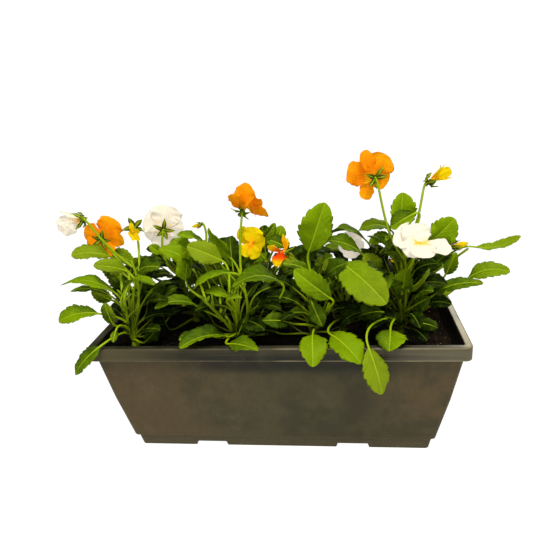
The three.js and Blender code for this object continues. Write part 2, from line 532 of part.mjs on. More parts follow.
/**
 * Rings of a thin blade from base to tip: arched along its length, folded up from its midrib, its
 * edge cut into rounded teeth or waved up and down.
 */
function bladeRings(spec) {
  const { base, tip, width, face, arch, fold, profile, stations, thickness } = spec;
  const { teeth = 0, toothDepth = 0, wave = 0, waves = 0, blunt = 0 } = spec;
  const grow = spec.grow ?? 0;
  const along = tip.clone().sub(base);
  const length = along.length();
  along.normalize();
  const up = face.clone().addScaledVector(along, -face.dot(along)).normalize();
  const side = along.clone().cross(up);
  const rings = [];
  for (let j = 0; j <= stations; j += 1) {
    const t = j / stations;
    const centre = base.clone().addScaledVector(along, length * t);
    centre.addScaledVector(up, arch * 4 * t * (1 - t));
    const normal = up.clone().multiplyScalar(length).addScaledVector(along, -arch * 4 * (1 - 2 * t));
    normal.normalize();
    if (j === 0 || j === stations) {
      rings.push([centre.addScaledVector(along, j === 0 ? -grow : grow)]);
      continue;
    }
    const cut = 1 - toothDepth * (1 - Math.abs(Math.sin(Math.PI * teeth * t)));
    const half = width / 2 * PROFILES[profile](t, width / length, blunt) * (teeth > 0 ? cut : 1) + grow;
    const edge = (sign) => centre.clone()
      .addScaledVector(side, sign * half * Math.cos(fold))
      .addScaledVector(normal, half * Math.sin(fold))
      .addScaledVector(normal, wave * half * Math.sin(2 * Math.PI * waves * t + sign));
    const thick = thickness / 2 + grow;
    rings.push([edge(-1), centre.clone().addScaledVector(normal, thick), edge(1),
      centre.clone().addScaledVector(normal, -thick)]);
  }
  return rings;
}

function blade(spec) {
  return loft(bladeRings(spec), true);
}

/** A point of a blade's midrib, and the way the midrib runs there. */
function midrib(leaf, t) {
  const along = leaf.tip.clone().sub(leaf.base);
  const up = leaf.face.clone().addScaledVector(along, -leaf.face.dot(along) / along.lengthSq());
  up.normalize();
  return {
    point: leaf.base.clone().addScaledVector(along, t).addScaledVector(up, leaf.arch * 4 * t * (1 - t)),
    way: along.clone().addScaledVector(up, leaf.arch * 4 * (1 - 2 * t)).normalize(),
  };
}

function leafBladeRings(leaf, grow) {
  return bladeRings({ ...leaf, profile: "leaf", stations: 2 * leaf.teeth, toothDepth: TOOTH_DEPTH,
    thickness: LEAF_THICKNESS, grow });
}

// ---------- stems, petioles and flower stalks ----------

/** A three-sided stem along a curve, thinner towards its end. */
function stalk(curve, radius, steps, taper) {
  const rings = [];
  const frames = curve.computeFrenetFrames(steps, false);
  for (let j = 0; j <= steps; j += 1) {
    const centre = curve.getPoint(j / steps);
    const r = radius * (1 - (1 - taper) * j / steps);
    const points = [];
    for (let k = 0; k < 3; k += 1) {
      const angle = (k / 3) * 2 * Math.PI;
      points.push(centre.clone().addScaledVector(frames.normals[j], r * Math.cos(angle))
        .addScaledVector(frames.binormals[j], r * Math.sin(angle)));
    }
    rings.push(points);
  }
  return loft(rings);
}

function stemCurve(points) {
  return new THREE.CubicBezierCurve3(...points.map(vector));
}

function crown([x, y]) {
  const profile = [[CROWN_ROOT, 1.6], [112, CROWN_RADIUS * 0.75], [118, CROWN_RADIUS],
    [CROWN_TOP, CROWN_RADIUS * 0.5]];
  return loft(profile.map(([height, radius]) => {
    const points = [];
    for (let k = 0; k < 6; k += 1) {
      const angle = (k / 6) * 2 * Math.PI;
      points.push(new THREE.Vector3(x + radius * Math.cos(angle), y + radius * Math.sin(angle),
        height));
    }
    return points;
  }));
}

const STEM_SAMPLES = 12;

/** The point of a plant's stems nearest to a leaf, no higher than the given share of its height. */
function axil(plant, target, share) {
  const limit = CROWN_TOP + share * (target.z - CROWN_TOP);
  let best = vector(plant.stems[0][0]);
  let least = Infinity;
  for (const points of plant.stems) {
    const curve = stemCurve(points);
    for (let k = 0; k <= STEM_SAMPLES; k += 1) {
      const point = curve.getPoint(k / STEM_SAMPLES);
      const reach = point.distanceTo(target);
      if (point.z <= Math.max(limit, CROWN_TOP) && reach < least) {
        least = reach;
        best = point;
      }
    }
  }
  return best;
}

/** Rings of a petiole that rises from its axil and runs on into the blade. */
function petioleRings(plant, leaf, grow) {
  const from = axil(plant, leaf.base, PETIOLE_AXIL);
  const reach = from.distanceTo(leaf.base);
  const { point, way } = midrib(leaf, 0);
  const rise = from.clone().lerp(point, 0.2).addScaledVector(UPWARD, reach * 0.15);
  const curve = new THREE.CubicBezierCurve3(from, rise,
    point.clone().addScaledVector(way, -reach * 0.35), point);
  const across = leaf.tip.clone().sub(leaf.base).cross(leaf.face);
  const rings = [];
  for (let j = 0; j <= PETIOLE_STEPS; j += 1) {
    const centre = curve.getPoint(j / PETIOLE_STEPS);
    const tangent = curve.getTangent(j / PETIOLE_STEPS);
    const side = across.clone().addScaledVector(tangent, -across.dot(tangent)).normalize();
    const normal = side.clone().cross(tangent);
    const radius = PETIOLE_RADIUS * (1.1 - 0.25 * j / PETIOLE_STEPS) + grow;
    rings.push([side.clone().negate(), normal, side, normal.clone().negate()]
      .map((spoke) => centre.clone().addScaledVector(spoke, radius)));
  }
  return rings;
}

/** A leaf: its petiole and blade in one. */
function leafSolid(plant, leaf, grow = 0) {
  return loft([...petioleRings(plant, leaf, grow), ...leafBladeRings(leaf, grow).slice(1)], true);
}

// ---------- blooms ----------

// The five petals: turn from the top of the bloom, width and length as shares of the petal length,
// how far forward the petal sits, and its arch. The two upper petals lie behind the side ones, and
// the broad lower one lies in front.
const PETALS = [
  { turn: 0.5, width: 1.05, length: 0.97, layer: 0, arch: -0.06 },
  { turn: -0.5, width: 1.05, length: 1, layer: 1.3, arch: -0.06 },
  { turn: 1.75, width: 0.92, length: 0.9, layer: 2.6, arch: 0.05 },
  { turn: -1.75, width: 0.92, length: 0.92, layer: 3.9, arch: 0.05 },
  { turn: Math.PI, width: 1.2, length: 0.95, layer: 5.2, arch: 0.08 },
];
const PETAL_START = 1.4;    // from the calyx to the rearmost petal, along the bloom's axis
const PETAL_CLAW = 1.5;     // how far a petal's narrow foot runs past the axis
const PETAL_FOLD = 0.08;
const HEART = { start: 0.5, end: 7.4, radius: 3.2, endRadius: 1.8 };
const SEPALS = 5;
const SEPAL_TURN = 0.3;

/** Axes of a bloom: the way it faces, its upright across that, and its side. */
function bloomAxes(facing) {
  const forward = facing.clone().normalize();
  const hint = Math.abs(forward.z) > 0.9 ? new THREE.Vector3(0, 1, 0) : UPWARD;
  const up = hint.clone().addScaledVector(forward, -hint.dot(forward)).normalize();
  return { forward, up, side: forward.clone().cross(up) };
}

function spoke(axes, turn, lean) {
  const radial = axes.up.clone().multiplyScalar(Math.cos(turn))
    .addScaledVector(axes.side, Math.sin(turn));
  return radial.multiplyScalar(Math.cos(lean)).addScaledVector(axes.forward, Math.sin(lean));
}

function petals(bloom, grow = 0) {
  const axes = bloomAxes(bloom.facing);
  const laid = LAID_PETALS[bloom.name];
  const solids = PETALS.map((petal, k) => {
    const foot = bloom.centre.clone().addScaledVector(axes.forward, PETAL_START + petal.layer);
    const out = laid ? vector(laid[k][0]).sub(foot) : spoke(axes, petal.turn, bloom.lean)
      .multiplyScalar(bloom.size * petal.length);
    const tip = foot.clone().add(out);
    return blade({
      base: foot.addScaledVector(out.normalize(), -PETAL_CLAW),
      tip,
      width: laid ? laid[k][1] : bloom.size * petal.width,
      blunt: laid ? laid[k][2] : 0,
      face: axes.forward,
      arch: bloom.size * petal.arch,
      fold: PETAL_FOLD,
      profile: "petal",
      stations: bloom.size < SMALL_BLOOM ? SMALL_STATIONS : PETAL_STATIONS,
      thickness: PETAL_THICKNESS,
      wave: PETAL_WAVE,
      waves: PETAL_WAVES,
      grow,
    });
  });
  solids.push(heart(bloom.centre, axes, grow));
  return Manifold.union(solids);
}

/** The bloom's heart, a short five-sided plug that all the petals stand in. */
function heart(centre, axes, grow) {
  const pentagon = (offset, radius) => PETALS.map((petal, k) => centre.clone()
    .addScaledVector(axes.forward, offset)
    .addScaledVector(spoke(axes, (k / PETALS.length) * 2 * Math.PI, 0), radius + grow));
  return loft([pentagon(HEART.start, HEART.radius), pentagon(HEART.end, HEART.endRadius)]);
}

// Along a bud: distance from the calyx and radius, both as shares of its length.
const BUD_PROFILE = [[0.05, 0.1], [0.3, 0.19], [0.6, 0.2], [0.85, 0.12], [1, 0.03]];

/** Furled petals of a bud: three lapped edges that wind round its axis. */
function furledPetals(bud, grow = 0) {
  const axes = bloomAxes(bud.facing);
  return loft(BUD_PROFILE.map(([distance, share]) => {
    const points = [];
    for (let k = 0; k < 6; k += 1) {
      const radius = bud.size * share * (k % 2 === 0 ? 1.12 : 0.86) + grow;
      points.push(bud.centre.clone().addScaledVector(axes.forward, bud.size * distance)
        .addScaledVector(spoke(axes, k * Math.PI / 3 + distance * 1.2, 0), radius));
    }
    return points;
  }));
}

// A calyx is a star of five sepals. Each ring is where it lies along the bloom's axis, then the
// radius at a sepal's middle and between two sepals. Round a furled bud the sepals reach forward.
const SEPAL_REACH = 12.5;
const SEPAL_FOOT = 2;
const BUD_CALYX = [[-3.4, 1.9, 1.9], [3.6, 6.6, 2.5], [-0.6, 3.2, 2.4], [0, 1.5, 1.5]];
const BUD_SIZE = 16;        // length of the bud that BUD_CALYX fits
const BETWEEN_SEPALS = -0.4;

/** The rings of an open bloom's calyx, whose sepals lean forward by an angle. */
function openCalyx(lean) {
  const tip = [SEPAL_REACH * Math.sin(lean) - SEPAL_FOOT, SEPAL_REACH * Math.cos(lean), 2.8];
  return [[-4.2, 2.2, 2.2], tip, lean > 0 ? [-0.8, 3.8, 2.8] : [-1.8, 6, 2.8], [0, 1.8, 1.8]];
}

function calyx(bloom) {
  const axes = bloomAxes(bloom.facing);
  const size = bloom.furled ? bloom.size / BUD_SIZE : 1;
  const rings = bloom.furled ? BUD_CALYX : openCalyx(SEPAL_LEANS[bloom.name] ?? SEPAL_LEAN);
  return loft(rings.map(([offset, wide, narrow]) => {
    const points = [];
    for (let k = 0; k < 2 * SEPALS; k += 1) {
      const sepal = k % 2 === 0;
      points.push(bloom.centre.clone()
        .addScaledVector(axes.forward, size * (sepal ? offset : Math.min(offset, BETWEEN_SEPALS)))
        .addScaledVector(spoke(axes, SEPAL_TURN + k * Math.PI / SEPALS, 0),
          size * (sepal ? wide : narrow)));
    }
    return points;
  }));
}

/** The flower stalk rises from an axil and hooks over into the back of the calyx. */
function flowerStalk(plant, bloom) {
  const axes = bloomAxes(bloom.facing);
  const [low, high] = bloom.stalk;
  const end = bloom.centre.clone().addScaledVector(axes.forward, -2);
  return stalk(new THREE.CubicBezierCurve3(axil(plant, low, STALK_AXIL), low, high, end),
    STALK_RADIUS, STALK_STEPS, 0.8);
}

// ---------- bending clear ----------

function boxesMeet(a, b) {
  return [0, 1, 2].every((k) => a.min[k] <= b.max[k] && b.min[k] <= a.max[k]);
}

/** Whether a trial solid meets any of the others. */
function meets(trial, others) {
  const bounds = trial.boundingBox();
  return others.some((other) => boxesMeet(bounds, other.bounds)
    && trial.intersect(other.solid).volume() > 1e-4);
}

function shifts() {
  const list = [new THREE.Vector3()];
  for (const step of BEND_STEPS) {
    list.push(INWARD.clone().multiplyScalar(step));
  }
  for (const step of LIFT_STEPS) {
    list.push(UPWARD.clone().multiplyScalar(step));
    list.push(UPWARD.clone().multiplyScalar(step).addScaledVector(INWARD, 6));
    list.push(UPWARD.clone().multiplyScalar(step).addScaledVector(INWARD, -6));
  }
  return list;
}

/** The leaf with its tip moved by a shift, and its base by half of it. */
function bent(leaf, shift) {
  return { ...leaf, base: leaf.base.clone().addScaledVector(shift, 0.5),
    tip: leaf.tip.clone().add(shift) };
}

/**
 * Grows one leaf on a plant clear of every other node, or returns false. Its blade stays clear of
 * its own plant too, unless no shift allows that.
 */
function growLeaf(leaf, plant, plants, fixed) {
  const others = fixed.concat(plants.filter((each) => each !== plant).flatMap((each) => each.parts));
  for (const own of leaf.filler ? [plant.parts] : [plant.parts, []]) {
    for (const shift of shifts()) {
      const trial = bent(leaf, shift);
      const bare = loft(leafBladeRings(trial, CLEARANCE), true);
      if (!meets(bare, others.concat(own)) && !meets(leafSolid(plant, trial, CLEARANCE), others)) {
        addPart(plant, leafSolid(plant, trial));
        return true;
      }
    }
  }
  return false;
}

function addPart(plant, solid) {
  plant.parts.push({ solid, bounds: solid.boundingBox() });
}

// ---------- leaves that fill each plant out ----------

/** A small seeded generator of numbers from 0 to 1. */
function seeded(seed) {
  let state = seed;
  return () => {
    state = (Math.imul(state, 1664525) + 1013904223) >>> 0;
    return state / 4294967296;
  };
}

function fillerLeaves() {
  const random = seeded(FILLER_SEED);
  const draw = ([least, range]) => least + range * random();
  const leaves = [];
  for (const [index, count, first, spread] of FILLERS) {
    const [x, y] = PLANTS[index].crown;
    for (let k = 0; k < count; k += 1) {
      // The leaves turn about straight back, because the named leaves fill the front.
      const turn = first + k * GOLDEN_ANGLE;
      const azimuth = Math.PI / 2 + Math.sin(turn) * spread;
      const near = draw(FILLER_NEAR);
      const length = draw(FILLER_LENGTH);
      const height = draw(FILLER_HEIGHT);
      const out = new THREE.Vector3(Math.cos(azimuth), Math.sin(azimuth), 0);
      const base = new THREE.Vector3(x, y, height).addScaledVector(out, near);
      const tip = base.clone().addScaledVector(out, length * FILLER_RUN);
      tip.z += draw(FILLER_RISE);
      const face = new THREE.Vector3(0, 0, 1).addScaledVector(out, FILLER_TURN);
      leaves.push({ plant: index, base, tip, width: length * FILLER_WIDTH, face,
        arch: FILLER_ARCH, fold: FILLER_FOLD, teeth: SMALL_TEETH, filler: true });
    }
  }
  return leaves;
}

// ---------- assembly ----------

const planting = new THREE.Group();

function addNode(name, solid, material) {
  const mesh = new THREE.Mesh(geometryOf(solid), material);
  mesh.name = name;
  planting.add(mesh);
}

/** The one body of a union: its sealed hollows are filled and its loose scraps dropped. */
function oneBody(solids, name) {
  const bodies = Manifold.union(solids).decompose();
  bodies.sort((a, b) => b.volume() - a.volume());
  const loose = bodies.slice(1).filter((body) => body.volume() > 1);
  if (loose.length > 0) {
    throw new Error(`${name} has ${loose.length} loose pieces`);
  }
  return bodies[0];
}

function build() {
  const box = windowBox();
  const soil = pottingMix();
  addNode("window_box", box, MATERIALS.box);
  addNode("potting_mix", soil, MATERIALS.soil);
  const plants = PLANTS.map((plant) => ({ ...plant, parts: [] }));
  const fixed = [box, soil].map((solid) => ({ solid, bounds: solid.boundingBox() }));

  for (const plant of plants) {
    addPart(plant, crown(plant.crown));
    for (const points of plant.stems) {
      addPart(plant, stalk(stemCurve(points), STEM_RADIUS, STEM_STEPS, 0.7));
    }
  }
  const blooms = BLOOMS.map(([name, index, centre, facing, size, lean, colour, way]) => ({
    name, plant: plants[index], centre: vector(centre), facing: vector(facing), size, lean, colour,
    stalk: way.map(vector), furled: false }));
  for (const [name, index, centre, facing, size, colour, way] of BUDS) {
    blooms.push({ name, plant: plants[index], centre: vector(centre), facing: vector(facing), size,
      lean: 0, colour, stalk: way.map(vector), furled: true });
  }
  for (const bloom of blooms) {
    const form = bloom.furled ? furledPetals : petals;
    fixed.push({ solid: form(bloom, CLEARANCE), bounds: form(bloom, CLEARANCE).boundingBox() });
    addPart(bloom.plant, calyx(bloom));
    addPart(bloom.plant, flowerStalk(bloom.plant, bloom));
    addNode(bloom.name, oneBody([form(bloom)], bloom.name), MATERIALS[bloom.colour]);
  }

  const named = LEAVES.map(([index, base, tip, width, face, arch, fold]) => ({ plant: index,
    base: vector(base), tip: vector(tip), width, face: vector(face), arch, fold,
    teeth: width < SMALL_LEAF ? SMALL_TEETH : LEAF_TEETH, filler: false }));
  for (const leaf of named.concat(fillerLeaves())) {
    const grown = growLeaf(leaf, plants[leaf.plant], plants, fixed);
    if (!grown && !leaf.filler) {
      throw new Error(`no room for the leaf with its tip at ${leaf.tip.toArray()}`);
    }
  }
  plants.forEach((plant, index) => {
    const solids = plant.parts.map((part) => part.solid);
    addNode(`pansy_plant_${index + 1}`, oneBody(solids, `plant ${index + 1}`), MATERIALS.leaf);
  });
}

build();

export default planting;
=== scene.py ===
"""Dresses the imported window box: fine leaves, stems, petals, peat and a moulded trough in place of
its plain solids, with the studio that they are shown in. Tables are in millimetres, as the solids'
own are, and meshes in metres.
"""

import logging
import math
from dataclasses import dataclass, field, replace
from enum import Enum
from typing import Any, Callable, Sequence

import bpy
import numpy as np
from mathutils import Matrix, Vector
from numpy.typing import NDArray


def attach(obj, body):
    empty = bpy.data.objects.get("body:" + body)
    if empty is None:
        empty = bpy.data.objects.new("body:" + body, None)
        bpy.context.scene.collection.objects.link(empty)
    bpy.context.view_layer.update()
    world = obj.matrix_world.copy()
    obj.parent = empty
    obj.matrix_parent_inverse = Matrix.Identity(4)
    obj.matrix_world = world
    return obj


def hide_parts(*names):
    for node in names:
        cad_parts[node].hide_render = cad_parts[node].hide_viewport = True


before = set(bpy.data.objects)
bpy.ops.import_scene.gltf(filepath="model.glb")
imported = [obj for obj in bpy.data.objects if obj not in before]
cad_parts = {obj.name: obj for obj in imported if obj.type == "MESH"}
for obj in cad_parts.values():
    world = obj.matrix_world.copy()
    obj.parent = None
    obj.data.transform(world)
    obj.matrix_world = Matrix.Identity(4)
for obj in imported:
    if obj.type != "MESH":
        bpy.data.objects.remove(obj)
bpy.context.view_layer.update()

Array = NDArray[np.float64]
Triple = tuple[float, float, float]
Number = "float | Wire"

MM = 0.001
BODY = "root"
LOG = logging.getLogger("window_box")

UP = np.array([0.0, 0.0, 1.0])
ASLANT = np.array([1.0, 0.1, 0.2])      # a direction that no stem or stalk runs along
GOLDEN_ANGLE = math.pi * (3 - math.sqrt(5))

# Where a Mix node that mixes colours has its two colours and its result.
MIX_FIRST = 6
MIX_SECOND = 7
MIX_RESULT = 2


# ---------- shader maths ----------


class Wire:
    """One output of a shader tree. Arithmetic on it adds Math nodes."""

    def __init__(self, tree: "Tree", socket: bpy.types.NodeSocket) -> None:
        """Holds the socket and the tree that it belongs to."""
        self.tree = tree
        self.socket = socket

    def __add__(self, other: Number) -> "Wire":
        """Sum."""
        return self.tree.math("ADD", self, other)

    def __sub__(self, other: Number) -> "Wire":
        """Difference."""
        return self.tree.math("SUBTRACT", self, other)

    def __rsub__(self, other: float) -> "Wire":
        """Difference, with the number first."""
        return self.tree.math("SUBTRACT", other, self)

    def __mul__(self, other: Number) -> "Wire":
        """Product."""
        return self.tree.math("MULTIPLY", self, other)

    def __truediv__(self, other: Number) -> "Wire":
        """Quotient."""
        return self.tree.math("DIVIDE", self, other)

    def __abs__(self) -> "Wire":
        """Absolute value."""
        return self.tree.math("ABSOLUTE", self)

    __radd__ = __add__
    __rmul__ = __mul__


class Tree:
    """A material's node tree, whose nodes all come from one method."""

    def __init__(self, name: str) -> None:
        """Makes an empty material.

        Args:
            name: The material's name.
        """
        self.material = bpy.data.materials.new(name)
        self.material.use_nodes = True
        self.nodes = self.material.node_tree.nodes
        self.links = self.material.node_tree.links
        self.nodes.clear()

    def node(self, kind: str, inputs: dict[int | str, Any], settings: dict[str, Any] | None = None,
             output: int | str = 0) -> Wire:
        """Adds a node, sets its options and then its sockets.

        Args:
            kind: The node's type.
            inputs: A value or a Wire for each socket, by index or name.
            settings: The node's own options.
            output: The output that the Wire stands for.

        Returns:
            The Wire of that output.
        """
        made = self.nodes.new(kind)
        for key, value in (settings or {}).items():
            setattr(made, key, value)
        for key, value in inputs.items():
            if isinstance(value, Wire):
                self.links.new(value.socket, made.inputs[key])
            elif isinstance(value, tuple) and made.inputs[key].type == "RGBA":
                made.inputs[key].default_value = (*value, 1.0)
            else:
                made.inputs[key].default_value = value
        return Wire(self, made.outputs[output])

    def math(self, operation: str, *values: Number) -> Wire:
        """A Math node on one to three numbers or Wires."""
        return self.node("ShaderNodeMath", dict(enumerate(values)), {"operation": operation})

    def step(self, value: Wire, low: float, high: float) -> Wire:
        """Rises smoothly from 0 at low to 1 at high; low may be the greater."""
        return self.node("ShaderNodeMapRange", {0: value, 1: low, 2: high},
                         {"interpolation_type": "SMOOTHSTEP"})

    def mix(self, factor: Number, first: Any, second: Any) -> Wire:
        """Colour from first at factor 0 to second at factor 1."""
        return self.node("ShaderNodeMix", {0: factor, MIX_FIRST: first, MIX_SECOND: second},
                         {"data_type": "RGBA"}, output=MIX_RESULT)

    def place(self) -> Wire:
        """Object coordinates, in metres."""
        return self.node("ShaderNodeTexCoord", {}, output="Object")

    def stretched(self, scale: Triple) -> Wire:
        """Object coordinates, stretched along each axis."""
        return self.node("ShaderNodeMapping", {"Vector": self.place(), "Scale": Vector(scale)})

    def noise(self, scale: float, detail: float = 3.0, where: Wire | None = None) -> Wire:
        """Noise from 0 to 1 with so many cells per metre."""
        vector = self.place() if where is None else where
        return self.node("ShaderNodeTexNoise", {"Vector": vector, "Scale": scale, "Detail": detail,
                                                "Roughness": 0.6})

    def split(self, vector: Wire) -> tuple[Wire, Wire, Wire]:
        """The three parts of a vector."""
        outputs = self.node("ShaderNodeSeparateXYZ", {0: vector}).socket.node.outputs
        return Wire(self, outputs[0]), Wire(self, outputs[1]), Wire(self, outputs[2])

    def carried(self, name: str) -> tuple[Wire, Wire, Wire]:
        """The three numbers that a mesh carries at each point under this name."""
        return self.split(self.node("ShaderNodeAttribute", {}, {"attribute_name": name}, "Vector"))

    def bump(self, height: Wire, distance: float) -> Wire:
        """A normal bent by a height field, where height 1 stands distance metres proud."""
        sockets = {"Height": height, "Distance": distance, "Strength": 1.0}
        return self.node("ShaderNodeBump", sockets)

    def finish(self, **sockets: Any) -> bpy.types.Material:
        """Closes the tree with a Principled shader.

        Args:
            sockets: Values or Wires by socket name, with _ for a space.

        Returns:
            The finished material.
        """
        named = {key.replace("_", " "): value for key, value in sockets.items()}
        return self.close(self.node("ShaderNodeBsdfPrincipled", named))

    def close(self, shader: Wire) -> bpy.types.Material:
        """Joins a shader to the material's output, and returns the finished material."""
        end = self.nodes.new("ShaderNodeOutputMaterial")
        self.links.new(shader.socket, end.inputs["Surface"])
        return self.material


# ---------- the planting, as the solids have it ----------

# Each plant: its crown, then its leafy stems as four control points.
PLANTS = (
  ((-166, -32), (
    ((-166, -32, 120), (-172, -40, 134), (-162, -46, 165), (-168, -43, 186)),
    ((-166, -32, 120), (-166, -28, 140), (-148, -22, 180), (-160, -24, 216)))),
  ((-45, -28), (
    ((-45, -28, 120), (-50, -36, 134), (-58, -48, 160), (-78, -46, 178)),
    ((-45, -28, 120), (-44, -44, 136), (-38, -46, 158), (-46, -52, 182)),
    ((-45, -28, 120), (-34, -24, 136), (-28, -24, 160), (-40, -20, 196)),
    ((-45, -28, 120), (-28, -34, 128), (-10, -38, 146), (6, -38, 172)))),
  ((38, -30), (
    ((38, -30, 120), (40, -32, 134), (52, -42, 152), (58, -48, 172)),
    ((38, -30, 120), (44, -22, 140), (42, -22, 170), (44, -24, 200)))),
  ((73, 0), (
    ((73, 0, 120), (74, -6, 140), (82, -12, 160), (78, -18, 196)),)),
  ((137, -4), (
    ((137, -4, 120), (140, -8, 136), (138, -10, 156), (122, -14, 178)),
    ((137, -4, 120), (146, -4, 140), (170, -6, 148), (198, -6, 174)),
    ((137, -4, 120), (142, -2, 150), (148, -4, 180), (136, -2, 222)))),
  ((-110, 34), (
    ((-110, 34, 120), (-112, 30, 150), (-122, 24, 170), (-116, 18, 200)),)),
  ((-12, 36), (
    ((-12, 36, 120), (-10, 30, 150), (-24, 24, 170), (-16, 14, 204)),)),
  ((108, 42), (
    ((108, 42, 120), (112, 38, 150), (104, 34, 180), (112, 20, 212)),
    ((108, 42, 120), (130, 38, 140), (168, 32, 168), (214, 32, 204)))),
)

